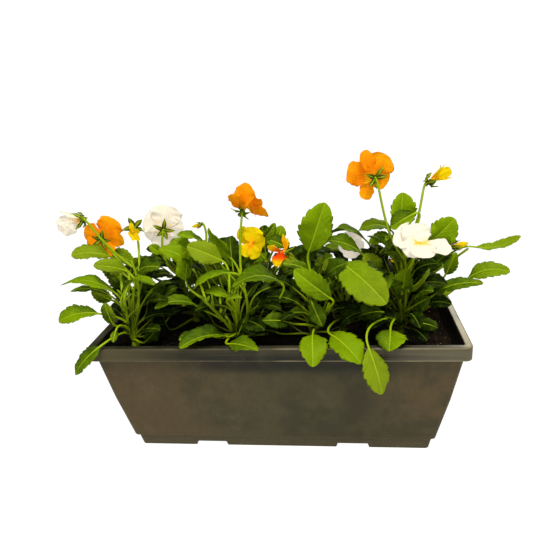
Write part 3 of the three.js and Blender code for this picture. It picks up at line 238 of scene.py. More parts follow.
# Each leaf: plant, blade base, blade tip, width, direction its upper side faces, arch, and fold in
# radians.
LEAVES = (
  (0, (-183, -25, 222), (-220, -40, 228), 25, (0.1, -0.5, 0.86), 5, 0.2),
  (0, (-192, -8, 220), (-167, -2, 206), 21, (0, -0.5, 0.86), 4, 0.15),
  (0, (-162, -38, 209), (-191, -52, 220), 19, (0.1, -0.7, 0.7), 4, 0.25),
  (0, (-174, -42, 183), (-231, -55, 199), 21, (0.1, -0.25, 0.96), 12, 0.2),
  (0, (-192, -20, 173), (-234, -30, 183), 16, (0, -0.1, 0.99), 6, 0.15),
  (0, (-190, -60, 168), (-232, -70, 163), 23, (-0.2, -0.55, 0.8), 7, 0.1),
  (0, (-196, -10, 164), (-216, -16, 178), 18, (0.2, -0.9, 0.4), 3, 0.1),
  (0, (-176, -60, 156), (-180, -63, 182), 18, (0, -0.9, -0.1), 2, 0.25),
  (0, (-160, -62, 189), (-121, -66, 202), 20, (0, 0.1, 0.99), 11, 0.3),
  (0, (-148, -48, 128), (-129, -52, 149), 17, (0.5, -0.8, 0.2), 2, 0.2),
  (0, (-181, -89, 143), (-207, -102, 117), 23, (-0.3, -0.8, 0.5), 4, 0.1),
  (0, (-171, -62, 150), (-173, -66, 138), 9, (0, -0.9, -0.3), 1, 0.2),
  (0, (-172, -10, 179), (-192, -12, 199), 24, (-0.1, -0.8, 0.5), 3, 0.15),
  (0, (-205, 0, 206), (-188, 4, 186), 20, (0.2, -0.7, 0.7), 3, 0.15),
  (5, (-157, -2, 172), (-128, -8, 164), 26, (0, -0.8, 0.5), 3, 0.15),
  (5, (-135, -2, 124), (-139, -6, 150), 20, (0, -0.9, 0.1), 2, 0.1),
  (5, (-158, 20, 178), (-161, 25, 205), 20, (-0.2, -0.9, 0.1), 2, 0.1),
  (5, (-153, 15, 184), (-180, 18, 204), 26, (-0.1, -0.8, 0.5), 3, 0.15),
  (5, (-137, 12, 213), (-149, 9, 224), 13, (0, -0.8, 0.5), 1, 0.2),
  (1, (-84, -40, 166), (-128, -58, 172), 18, (0, -0.25, 0.96), 9, 0.2),
  (1, (-101, -12, 211), (-129, -18, 227), 24, (0, -0.5, 0.86), 5, 0.15),
  (1, (-98, -30, 193), (-89, -34, 231), 27, (-0.3, -0.95, 0.1), 2, 0.75),
  (1, (-54, -40, 219), (-89, -44, 237), 27, (-0.1, -0.8, 0.6), 4, 0.2),
  (1, (-48, -22, 216), (-69, -22, 251), 25, (-0.35, -0.9, -0.1), 3, 0.3),
  (1, (-37, -62, 212), (-79, -76, 199), 21, (0, -0.15, 0.98), 7, 0.25),
  (1, (9, -45, 194), (-40, -62, 197), 30, (0, -0.3, 0.95), 12, 0.15),
  (1, (-43, -62, 184), (-69, -68, 194), 16, (0, -0.3, 0.95), 5, 0.2),
  (1, (-46, -60, 183), (-30, -63, 186), 10, (0, -0.5, 0.86), 2, 0.2),
  (1, (-51, -62, 141), (-96, -88, 140), 26, (0.1, -0.3, 0.95), 8, 0.5),
  (1, (-80, -52, 136), (-103, -66, 139), 16, (0, -0.6, 0.8), 3, 0.2),
  (1, (-46, -78, 140), (-13, -94, 140), 24, (0, -0.35, 0.93), 3, 0.12),
  (1, (-41, -48, 138), (-31, -50, 158), 12, (0, -0.9, 0.2), 2, 0.2),
  (5, (-102, 12, 213), (-124, 14, 229), 24, (0, -0.8, 0.6), 3, 0.15),
  (5, (-84, 14, 222), (-115, 12, 234), 17, (0, -0.15, 0.98), 4, 0.3),
  (1, (-72, -6, 182), (-82, -6, 204), 24, (0, -0.9, 0.3), 3, 0.15),
  (5, (-77, 14, 173), (-97, 16, 194), 26, (-0.1, -0.85, 0.4), 3, 0.15),
  (6, (-55, 4, 172), (-65, 6, 198), 23, (-0.1, -0.9, 0.2), 3, 0.15),
  (6, (-34, 6, 191), (-18, 4, 211), 26, (0, -0.95, 0.2), 2, 0.1),
  (6, (-24, 8, 222), (-1, 10, 246), 17, (0.4, -0.85, -0.2), 4, 0.3),
  (6, (-1, 16, 222), (5, 18, 241), 17, (0.3, -0.9, 0), 2, 0.2),
  (6, (10, 2, 220), (-11, -4, 232), 18, (0.1, -0.7, 0.7), 3, 0.2),
  (6, (20, 12, 183), (7, 14, 209), 23, (0.1, -0.9, 0.2), 3, 0.15),
  (6, (-22, 16, 162), (-36, 18, 186), 20, (0, -0.9, 0.3), 2, 0.15),
  (2, (27, 0, 161), (9, 2, 182), 22, (0, -0.9, 0.3), 2, 0.15),
  (2, (16, -48, 150), (-12, -60, 158), 20, (0, -0.7, 0.7), 4, 0.15),
  (2, (37, -20, 220), (56, -22, 274), 39, (0.1, -0.97, 0.15), 3, 0.12),
  (2, (61, -58, 181), (24, -60, 214), 28, (-0.25, -0.9, 0.3), 3, 0.18),
  (2, (39, -30, 200), (10, -34, 212), 16, (0, -0.4, 0.9), 4, 0.2),
  (2, (40, -45, 172), (51, -54, 148), 19, (0.1, -0.95, -0.1), 2, 0.2),
  (2, (32, -40, 158), (16, -44, 160), 12, (0, -0.7, 0.7), 2, 0.2),
  (2, (41, -70, 146), (42, -102, 126), 31, (0, -0.6, 0.8), 7, 0.1),
  (2, (59, -4, 181), (46, -6, 210), 25, (-0.1, -0.9, 0.3), 3, 0.15),
  (3, (71, -28, 210), (116, -72, 180), 45, (0.25, -0.75, 0.6), 5, 0.14),
  (7, (75, 12, 171), (66, 14, 198), 24, (0, -0.9, 0.3), 3, 0.15),
  (7, (95, 0, 210), (56, -10, 230), 24, (0, -0.4, 0.9), 5, 0.2),
  (7, (100, 20, 220), (50, 12, 225), 23, (0, -0.1, 0.99), 12, 0.25),
  (7, (127, 12, 233), (90, 6, 234), 27, (0, -0.4, 0.9), 9, 0.15),
  (7, (128, 0, 230), (103, -10, 226), 16, (0, -0.6, 0.8), 3, 0.2),
  (7, (113, 14, 184), (95, 16, 205), 25, (0.1, -0.9, 0.3), 3, 0.15),
  (3, (114, -30, 154), (87, -40, 152), 25, (0, -0.6, 0.8), 4, 0.15),
  (3, (126, 4, 152), (105, 2, 168), 22, (0, -0.9, 0.3), 3, 0.15),
  (3, (60, -66, 144), (89, -98, 127), 36, (0.2, -0.65, 0.73), 6, 0.12),
  (4, (97, -88, 141), (110, -102, 96), 28, (0.15, -0.85, 0.45), 5, 0.12),
  (4, (135, 0, 238), (137, 2, 277), 31, (0.1, -0.97, 0.1), 2, 0.3),
  (4, (149, -14, 258), (125, -20, 245), 22, (0.1, -0.8, 0.6), 3, 0.25),
  (4, (165, -2, 223), (190, -8, 250), 33, (0.25, -0.85, 0.1), 3, 0.25),
  (4, (135, -20, 167), (140, -24, 201), 25, (-0.1, -0.95, 0.2), 2, 0.12),
  (4, (140, -28, 176), (161, -38, 206), 16, (0.6, -0.75, -0.1), 3, 0.3),
  (4, (167, -20, 167), (218, -30, 185), 18, (-0.2, -0.3, 0.93), 8, 0.25),
  (4, (206, -5, 180), (249, -12, 191), 24, (0, -0.4, 0.9), 9, 0.2),
  (7, (220, 30, 207), (267, 20, 221), 18, (0.1, -0.35, 0.93), -7, 0.25),
  (7, (188, 18, 178), (198, 14, 206), 16, (-0.2, -0.9, 0.1), 2, 0.2),
  (4, (147, -20, 155), (165, -26, 169), 17, (0, -0.8, 0.5), 3, 0.15),
  (7, (173, 12, 150), (190, 12, 159), 17, (0, -0.7, 0.7), 3, 0.15),
  (4, (153, -28, 139), (172, -40, 139), 20, (0.1, -0.6, 0.8), 3, 0.12),
  (4, (120, -68, 150), (117, -92, 138), 33, (0, -0.75, 0.66), 3, 0.08),
  (7, (148, 20, 171), (142, 22, 204), 26, (0, -0.95, 0.2), 2, 0.1),
  (7, (157, 15, 177), (164, 14, 201), 20, (0.1, -0.95, 0.1), 2, 0.1),
)

# Filling leaves: plant, how many, first azimuth, and the share of the circle that they spread over.
FILLERS = (
  (0, 1, 0.6, 1.5), (1, 1, 0.5, 1.7), (2, 1, 0.7, 1.5), (3, 1, 0.1, 2.6),
  (4, 1, 0.4, 1.6), (5, 3, 0, 3.1), (6, 4, 0.2, 3.1), (7, 3, 0.1, 3.1),
)
FILLER_NEAR = (14, 16)
FILLER_LENGTH = (34, 14)
FILLER_HEIGHT = (142, 62)
FILLER_RISE = (-5, 14)
FILLER_SEED = 20260

# Each bloom: solid, plant, where its stalk meets the calyx, the way it faces, petal length, lean,
# colour, and the stalk's way up.
BLOOMS = (
  ("bloom_white_far_left", 0, (-202, -38, 268), (-0.93, 0.25, -0.25), 22, 0.75, "white",
    ((-189, -30, 236), (-194, -40, 268))),
  ("bloom_orange_left", 0, (-193, -15, 240), (-0.1, 0.97, 0.2), 25, 0.3, "orange",
    ((-180, -20, 218), (-190, -20, 242))),
  ("bloom_white_back", 5, (-129, 8, 243), (-0.3, 0.94, 0.1), 26, 0.3, "white",
    ((-143, 6, 198), (-129, 2, 240))),
  ("bloom_orange_middle", 1, (-32, -10, 266), (0.35, 0.75, 0.55), 25, 0.35, "orange",
    ((-42, -10, 212), (-35, -14, 256))),
  ("bloom_yellow", 6, (-26, -4, 228), (-0.15, -0.97, -0.15), 19, 0.2, "yellow",
    ((-18, 4, 200), (-24, 4, 222))),
  ("bloom_gold", 6, (10, 2, 215), (-0.6, -0.78, 0.1), 17, 0.3, "gold",
    ((10, 4, 196), (14, 8, 213))),
  ("bloom_white_middle", 7, (82, 34, 213), (0.15, -0.98, 0.1), 17, 0.2, "white",
    ((86, 40, 180), (84, 42, 206))),
  ("bloom_orange_tall", 4, (107, -10, 296), (-0.35, 0.93, 0.05), 27, 0.3, "orange",
    ((116, -4, 232), (114, -15, 288))),
  ("bloom_white_right", 4, (150, -34, 227), (0.25, -0.6, 0.76), 28, 0.4, "white",
    ((145, -20, 192), (147, -30, 216))),
  ("bud_yellow_left", 0, (-163, 5, 245), (0.15, -0.95, -0.25), 9, 0.3, "yellow",
    ((-158, 6, 214), (-162, 12, 252))),
  ("bud_yellow_tall", 4, (164, 5, 287), (0.88, 0, 0.48), 12, 1, "yellow",
    ((160, 2, 246), (156, 4, 284))),
)

# The blooms whose petals are laid one by one, in the order of PETALS: tip, width and bluntness.
LAID_PETALS: dict[str, Sequence[tuple[Triple, float, float]]] = {
  "bloom_white_far_left": (((-229, -30, 275), 13, 0.3), ((-232, -34, 267), 19, 0.4),
    ((-229, -40, 257), 17, 0.3), ((-221, -44, 252), 17, 0.3), ((-210, -46, 258), 13, 0)),
  "bloom_orange_left": (((-215, -12, 247), 28, 0.4), ((-178, -10, 261), 29, 0.4),
    ((-167, -18, 238), 20, 0.2), ((-208, -20, 231), 20, 0.2), ((-188, -22, 219), 21, 0.2)),
  "bloom_white_back": (((-149, 10, 259), 31, 0.3), ((-122, 12, 269), 36, 0.4),
    ((-107, 14, 242), 26, 0.2), ((-154, 14, 234), 26, 0.2), ((-134, 16, 218), 29, 0.2)),
  "bloom_orange_middle": (((-43, -16, 285), 22, 0.3), ((-28, -6, 295), 25, -0.4),
    ((-12, 0, 271), 21, 0.2), ((-7, 2, 255), 17, -0.4), ((-19, -14, 262), 20, 0.3)),
  "bloom_yellow": (((-42, 4, 241), 21, 0.2), ((-24, -4, 246), 25, 0.2), ((-37, -12, 216), 16, 0),
    ((-12, 0, 227), 19, 0.2), ((-20, -14, 213), 17, 0.4)),
  "bloom_gold": (((8, 4, 235), 7, -0.3), ((13, 4, 230), 6, -0.3), ((-8, -11, 226), 10, 0.6),
    ((12, 3, 204), 8, -0.2), ((1, -12, 202), 17, 1)),
  "bloom_orange_tall": (((96, -13, 324), 15, 0.8), ((118, -6, 319), 33, 0.4),
    ((79, -8, 302), 26, 1), ((123, 2, 290), 23, 0.3), ((98, -6, 272), 16, 1)),
  "bloom_white_right": (((128, -30, 245), 35, 0.6), ((146, -26, 250), 36, 0.6),
    ((183, -38, 225), 20, 0), ((134, -43, 225), 26, 0.4), ((153, -50, 220), 30, 0.4)),
  "bud_yellow_left": (((-166, -2, 238), 8, 0.3), ((-160, -5, 234), 9, 0.6),
    ((-154, -6, 234), 7, 0.3), ((-153, -4, 245), 7, 0), ((-163, -2, 254), 6, 0)),
  "bud_yellow_tall": (((181, 7, 304), 10, 0.5), ((188, 5, 290), 12, 0.8), ((186, 2, 299), 12, 0.9),
    ((182, 3, 288), 8, 0.3), ((176, 5, 304), 7, 0)),
}

# Each bud: solid, plant, calyx, the way it points, length, colour, stalk.
BUDS = (
  ("bud_pale_back", 5, (-84, 6, 248), (-0.95, -0.2, -0.2), 11, "yellow",
    ((-74, 6, 208), (-78, 6, 242))),
  ("bud_orange_low", 4, (134, -2, 203), (-0.85, -0.4, 0.1), 10, "gold",
    ((138, -2, 178), (138, -1, 198))),
  ("bud_yellow_right", 7, (196, 27, 208), (0.95, 0, 0.25), 18, "yellow",
    ((172, 30, 188), (184, 28, 203))),
)


# ---------- meshes ----------

# What the points of a mesh carry: (s, t, side) on a blade, (half width, length, draw), and tones.
CARRIED = ("seen", "size", "tone")


def direction(vector: Sequence[float] | Array) -> Array:
    """The vector at length 1."""
    found = np.asarray(vector, float)
    return found / np.linalg.norm(found)


def across(vector: Array, axis: Array) -> Array:
    """What is left of the vector square to the axis, at length 1."""
    return direction(vector - axis * float(np.dot(vector, axis)))


def bezier(points: Sequence[Sequence[float]] | Array, t: Array) -> tuple[Array, Array]:
    """A cubic curve of four control points.

    Args:
        points: The control points.
        t: Shares of the way along it.

    Returns:
        The points (1-t)³a + 3(1-t)²t b + 3(1-t)t²c + t³d, and the unit tangents there.
    """
    a, b, c, d = (np.asarray(point, float) for point in points)
    t = t[:, None]
    where = (1 - t) ** 3 * a + 3 * (1 - t) ** 2 * t * b + 3 * (1 - t) * t ** 2 * c + t ** 3 * d
    way = (1 - t) ** 2 * (b - a) + 2 * (1 - t) * t * (c - b) + t ** 2 * (d - c)
    return where, way / np.linalg.norm(way, axis=1, keepdims=True)


class Skin:
    """A mesh under construction: closed skins and the numbers that their points carry."""

    def __init__(self) -> None:
        """Starts empty."""
        self.points: list[Array] = []
        self.corners: list[Array] = []
        self.sizes: list[Array] = []
        self.carried: dict[str, list[Array]] = {}
        self.count = 0

    def loft(self, rings: Array, **carried: Array) -> None:
        """Adds the closed skin through rings of points.

        A first or last ring whose points coincide becomes one pole, and any other is closed by one
        face. The faces are turned outwards by the sign of the enclosed volume.

        Args:
            rings: Points in millimetres, as (rings, points of a ring, 3).
            carried: Three numbers for each point, of the same shape.
        """
        n, m = rings.shape[:2]
        head = bool(np.ptp(rings[0], axis=0).max() < 1e-7)
        tail = bool(np.ptp(rings[-1], axis=0).max() < 1e-7)
        keep = np.ones((n, m), bool)
        keep[0, 1:] = not head
        keep[-1, 1:] = not tail
        index = (np.cumsum(keep) - 1).reshape(n, m)
        turned = np.roll(index, -1, axis=1)
        quads = np.stack([index[:-1], turned[:-1], turned[1:], index[1:]], axis=-1)
        faces = [quads[int(head):n - 1 - int(tail)].reshape(-1, 4)]
        faces.append(quads[0][:, [0, 2, 3]] if head else index[0][None, ::-1])
        faces.append(quads[-1][:, [0, 1, 2]] if tail else index[-1][None])
        points = rings.reshape(-1, 3)[keep.ravel()]
        volume = 0.0
        for group in faces:
            first = points[group[:, 0]]
            for k in range(1, group.shape[1] - 1):
                edge = np.cross(points[group[:, k]], points[group[:, k + 1]])
                volume += float((first * edge).sum())
        for group in faces:
            turned_out = group if volume > 0 else group[:, ::-1]
            self.corners.append(turned_out.ravel() + self.count)
            self.sizes.append(np.full(len(group), group.shape[1]))
        self.points.append(points)
        for name in CARRIED:
            values = carried.get(name, np.zeros(3))
            flat = np.broadcast_to(values, rings.shape).reshape(-1, 3)[keep.ravel()]
            self.carried.setdefault(name, []).append(flat)
        self.count += len(points)

    def mesh(self, name: str) -> bpy.types.Mesh:
        """The finished mesh, in metres and smooth.

        Args:
            name: The mesh's name.

        Returns:
            The mesh, with one vector attribute for each name carried.
        """
        mesh = bpy.data.meshes.new(name)
        corners = np.concatenate(self.corners)
        sizes = np.concatenate(self.sizes)
        mesh.vertices.add(self.count)
        mesh.vertices.foreach_set("co", (np.concatenate(self.points) * MM).ravel())
        mesh.loops.add(len(corners))
        mesh.loops.foreach_set("vertex_index", corners.astype(np.int32))
        mesh.polygons.add(len(sizes))
        starts = np.concatenate([[0], np.cumsum(sizes)[:-1]])
        mesh.polygons.foreach_set("loop_start", starts.astype(np.int32))
        mesh.polygons.foreach_set("use_smooth", np.ones(len(sizes), bool))
        mesh.update(calc_edges=True)
        mesh.validate()
        for key, values in self.carried.items():
            made = mesh.attributes.new(key, "FLOAT_VECTOR", "POINT")
            made.data.foreach_set("vector", np.concatenate(values).astype(np.float32).ravel())
        return mesh


def tube(skin: Skin, points: Array, ways: Array, radii: Array, upright: Array, sides: int,
         flat: float = 1.0, tone: Triple = (0.5, 0.5, 0.5)) -> None:
    """Adds a tube with pointed ends: circles of the given radii, square to the curve.

    Args:
        skin: The mesh under construction.
        points: The curve's points.
        ways: Its unit tangents.
        radii: The radius at each point.
        upright: A vector that the section's upright keeps to.
        sides: Points round the section.
        flat: Height of the section as a share of its width.
        tone: Three numbers that the whole tube carries.
    """
    side = np.cross(ways, upright)
    side /= np.linalg.norm(side, axis=1, keepdims=True)
    rise = np.cross(side, ways)
    angles = np.arange(sides) * 2 * math.pi / sides
    rings = (points[:, None] + radii[:, None, None]
             * (side[:, None] * np.cos(angles)[None, :, None]
                + rise[:, None] * flat * np.sin(angles)[None, :, None]))
    poles = np.stack([points[0] - ways[0] * radii[0] * 0.5, points[-1] + ways[-1] * radii[-1]])
    rings = np.concatenate([np.repeat(poles[:1, None], sides, axis=1), rings,
                            np.repeat(poles[1:, None], sides, axis=1)])
    share = np.linspace(0, 1, len(rings))[:, None, None]
    carried = np.broadcast_to(np.array(tone), rings.shape).copy()
    carried[..., 2:] = share
    skin.loft(rings, tone=carried)


@dataclass(frozen=True)
class Blade:
    """Where a thin leaf, sepal or petal lies, in millimetres.

    The centre line runs base + along·L·t + up·arch·4t(1-t), and the halves fold up from it. A petal
    is more or less blunt, from -1 for pointed to 1 for square.
    """

    base: Array
    tip: Array
    face: Array
    width: float
    arch: float
    fold: float
    blunt: float = 0.0


@dataclass(frozen=True)
class BladeForm:
    """How a kind of blade is shaped between its centre line and its margin.

    The outline is sin(π t^early)^q, where q runs from foot to tip. A leaf's foot exponent falls with
    its width over its length, so that slim leaves start as wedges. A blunt petal's exponents fall.
    """

    stations: int
    across: int
    early: float
    foot: float
    tip: float
    thickness: float
    rounder: float = 0.0    # how fast the foot's exponent falls with the aspect
    blunt: tuple[float, float] = (0.0, 0.0)   # how fast both exponents fall with bluntness
    teeth: int = 0
    tooth_depth: float = 0.0
    cup: float = 0.0        # how far the halves bulge, as a share of the half width
    ripple: float = 0.0     # height of the margin's waves, as a share of the half width
    ripples: float = 2.0
    groove: float = 0.0     # depth of the midrib's groove, in millimetres
    quilt: float = 0.0      # swelling between the side veins, in millimetres
    veins: int = 6
    slant: float = 1.5      # how far a side vein climbs for each step away from the midrib
    uneven: float = 0.0     # difference between the halves, as a share of the half width
    ragged: float = 0.0     # height of the outline's own waves, as a share of the half width
    twist: float = 0.0      # greatest turn of the tip about the centre line, in radians
    crowding: float = 1.0   # above 1 the points of a section crowd at the midrib


TOOTH_CROWDING = 0.9    # below 1 the teeth are longer towards the tip
TOOTH_CURVE = 0.45      # below 1 a tooth rises fast and falls slowly
TOOTH_REACH = 4         # the higher, the nearer to the margin a tooth stays
GROOVE_REACH = 0.9      # half width of the midrib's groove, in millimetres
TWIST_START = 0.3       # share of the length where a twisted blade lies untwisted


def half_widths(blade: Blade, form: BladeForm, length: float, t: Array) -> Array:
    """Half the width at each share t of the length: width/2 times the outline."""
    foot = form.foot
    if form.rounder:
        foot = min(max(form.foot - form.rounder * blade.width / length, form.tip), 1.0)
    foot = foot - form.blunt[0] * blade.blunt
    exponent = foot + (form.tip - form.blunt[1] * blade.blunt - foot) * t
    half = blade.width / 2 * np.abs(np.sin(np.pi * t ** form.early)) ** exponent
    half[[0, -1]] = 0.0
    return half


def cut_margin(lateral: Array, form: BladeForm, draw: Array, t: Array, s: Array) -> Array:
    """Cuts rounded teeth into a blade's margin, or waves it in and out.

    A tooth takes depth·(1 - p^0.45)·|s|⁴ off, where p runs from 0 to 1 along each tooth. The waves
    are two sines of different length, times s².

    Args:
        lateral: How far each point stands from the midrib.
        form: How the blade's kind is shaped.
        draw: Draws from 0 to 1 that shift the teeth and the waves.
        t: Share of the length of each point.
        s: Share of the half width of each point, below 0 on the left.

    Returns:
        The new distances from the midrib.
    """
    lateral = lateral * (1 + form.uneven * (draw[1] - 0.5) * np.sign(s))
    if form.teeth:
        phase = form.teeth * t ** TOOTH_CROWDING + 0.5 * draw[0] + 0.5 * (s > 0) * draw[1]
        notch = 1 - (phase % 1) ** TOOTH_CURVE
        lateral = lateral * (1 - form.tooth_depth * notch * np.abs(s) ** TOOTH_REACH)
    if form.ragged:
        swing = (np.sin(2 * np.pi * (2.1 * t + draw[1]) + 2.2 * np.sign(s))
                 + 0.6 * np.sin(2 * np.pi * (4.7 * t + draw[2]) - 1.4 * np.sign(s)))
        lateral = lateral * (1 + form.ragged * swing * np.abs(s) ** 2)
    return lateral


def relief(blade: Blade, form: BladeForm, draw: Array, length: float, half: Array, t: Array,
           s: Array) -> Array:
    """How far a blade's middle surface stands off the plane that its margins fold from.

    It is |s|·half·sin(fold) + cup·half·(|s| - s²), plus waves that grow as s², less the midrib's
    groove, plus the swelling between the side veins.

    Args:
        blade: Where the blade lies.
        form: How its kind is shaped.
        draw: Draws from 0 to 1 that shift the waves.
        length: The blade's length.
        half: Half width at each point.
        t: Share of the length of each point.
        s: Share of the half width of each point, below 0 on the left.

    Returns:
        The height of each point.
    """
    lift = np.abs(s) * half * (math.sin(blade.fold) + form.cup) - form.cup * half * s ** 2
    waves = (np.sin(2 * np.pi * (form.ripples * t + draw[2]) + 1.3 * np.sign(s))
             + 0.45 * np.sin(2 * np.pi * (2.3 * form.ripples * t + draw[3]) - 2.1 * np.sign(s)))
    lift = lift + form.ripple * half * s ** 2 * waves
    if form.groove:
        trench = np.exp(-(s * half / GROOVE_REACH) ** 2)
        lift = lift - form.groove * trench * np.sin(np.pi * t) ** 0.5
    if form.quilt:
        spacing = length / form.veins
        cells = (t * length - form.slant * np.abs(s) * half) / spacing
        lift = lift + (form.quilt * np.abs(np.sin(np.pi * cells)) * np.sin(np.pi * np.abs(s))
                       * np.sin(np.pi * t) ** 0.5)
    return lift


def blade_rings(blade: Blade, form: BladeForm, draw: Array) -> tuple[Array, Array, Array]:
    """Rings round a thin blade, from its base to its tip.

    Each ring goes over the upper side from margin to margin and back under the lower one, and its
    sides stand half the thickness times sqrt(1 - s²) off the middle surface. The section turns
    about the centre line by twist·(t - 0.3), with a drawn sense.

    Args:
        blade: Where the blade lies.
        form: How its kind is shaped.
        draw: Four draws from 0 to 1 that shift the teeth and the waves.

    Returns:
        The rings, then what each point carries: (s, t, side) and (half width, length, draw).
    """
    along = blade.tip - blade.base
    length = float(np.linalg.norm(along))
    along = along / length
    up = across(blade.face, along)
    side = np.cross(along, up)
    t = np.linspace(0, 1, form.stations + 1)
    u = np.linspace(-1, 1, form.across + 1)
    top = np.sign(u) * np.abs(u) ** form.crowding
    s = np.concatenate([top, top[-2:0:-1]])
    face_side = np.concatenate([np.ones(len(top)), -np.ones(form.across - 1)])
    face_side[[0, form.across]] = 0.0

    rise = blade.arch * 4 * t * (1 - t)
    centre = blade.base + along * (length * t)[:, None] + up * rise[:, None]
    normal = up * length - along * (blade.arch * 4 * (1 - 2 * t))[:, None]
    normal /= np.linalg.norm(normal, axis=1, keepdims=True)
    turn = (form.twist * (2 * draw[3] - 1) * (t - TWIST_START))[:, None]
    side, normal = (side * np.cos(turn) + normal * np.sin(turn),
                    normal * np.cos(turn) - side * np.sin(turn))

    t_grid, s_grid = np.meshgrid(t, s, indexing="ij")
    half = half_widths(blade, form, length, t)[:, None] * np.ones_like(s_grid)
    lateral = cut_margin(s_grid * half * math.cos(blade.fold), form, draw, t_grid, s_grid)
    lift = relief(blade, form, draw, length, half, t_grid, s_grid)
    body = (form.thickness / 2 * np.sqrt(np.clip(1 - s_grid ** 2, 0, 1))
            * np.sin(np.pi * t_grid) ** 0.4)
    lift = lift + body * face_side[None]
    rings = centre[:, None] + side[:, None] * lateral[..., None] + normal[:, None] * lift[..., None]
    rings[0] = centre[0]
    rings[-1] = centre[-1]
    seen = np.stack([s_grid, t_grid, np.broadcast_to(face_side, s_grid.shape)], axis=-1)
    size = np.stack([half, np.full_like(half, length), np.full_like(half, draw[0])], axis=-1)
    return rings, seen, size


def lay_blade(skin: Skin, blade: Blade, form: BladeForm, draw: Array, tone: Triple,
              light: Callable[[Array], Array] | None = None) -> None:
    """Adds a blade to a mesh under construction.

    Args:
        skin: The mesh under construction.
        blade: Where the blade lies.
        form: How its kind is shaped.
        draw: Draws from 0 to 1 that its outline and its waves take up.
        tone: Three numbers that all its points carry.
        light: Gives what the first of them is multiplied by at each point, from the points.
    """
    rings, seen, size = blade_rings(blade, form, draw)
    carried = np.broadcast_to(np.array(tone), rings.shape).copy()
    if light:
        carried[..., 0] *= light(rings)
    skin.loft(rings, seen=seen, size=size, tone=carried)


def add_piece(name: str, mesh: bpy.types.Mesh, material: bpy.types.Material, slot: str,
              *nodes: str) -> bpy.types.Object:
    """Places a finished mesh as a piece of the object.

    Args:
        name: The piece's name.
        mesh: Its mesh, in place.
        material: Its finish.
        slot: A material slot's name, which is not used.
        nodes: The solids that it stands for.

    Returns:
        The piece.
    """
    piece = bpy.data.objects.new(name, mesh)
    bpy.context.scene.collection.objects.link(piece)
    mesh.materials.clear()
    mesh.materials.append(material)
    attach(piece, BODY)
    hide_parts(*nodes)
    LOG.info("%s: %d faces", name, len(mesh.polygons))
    return piece


# ---------- the trough and its potting mix ----------


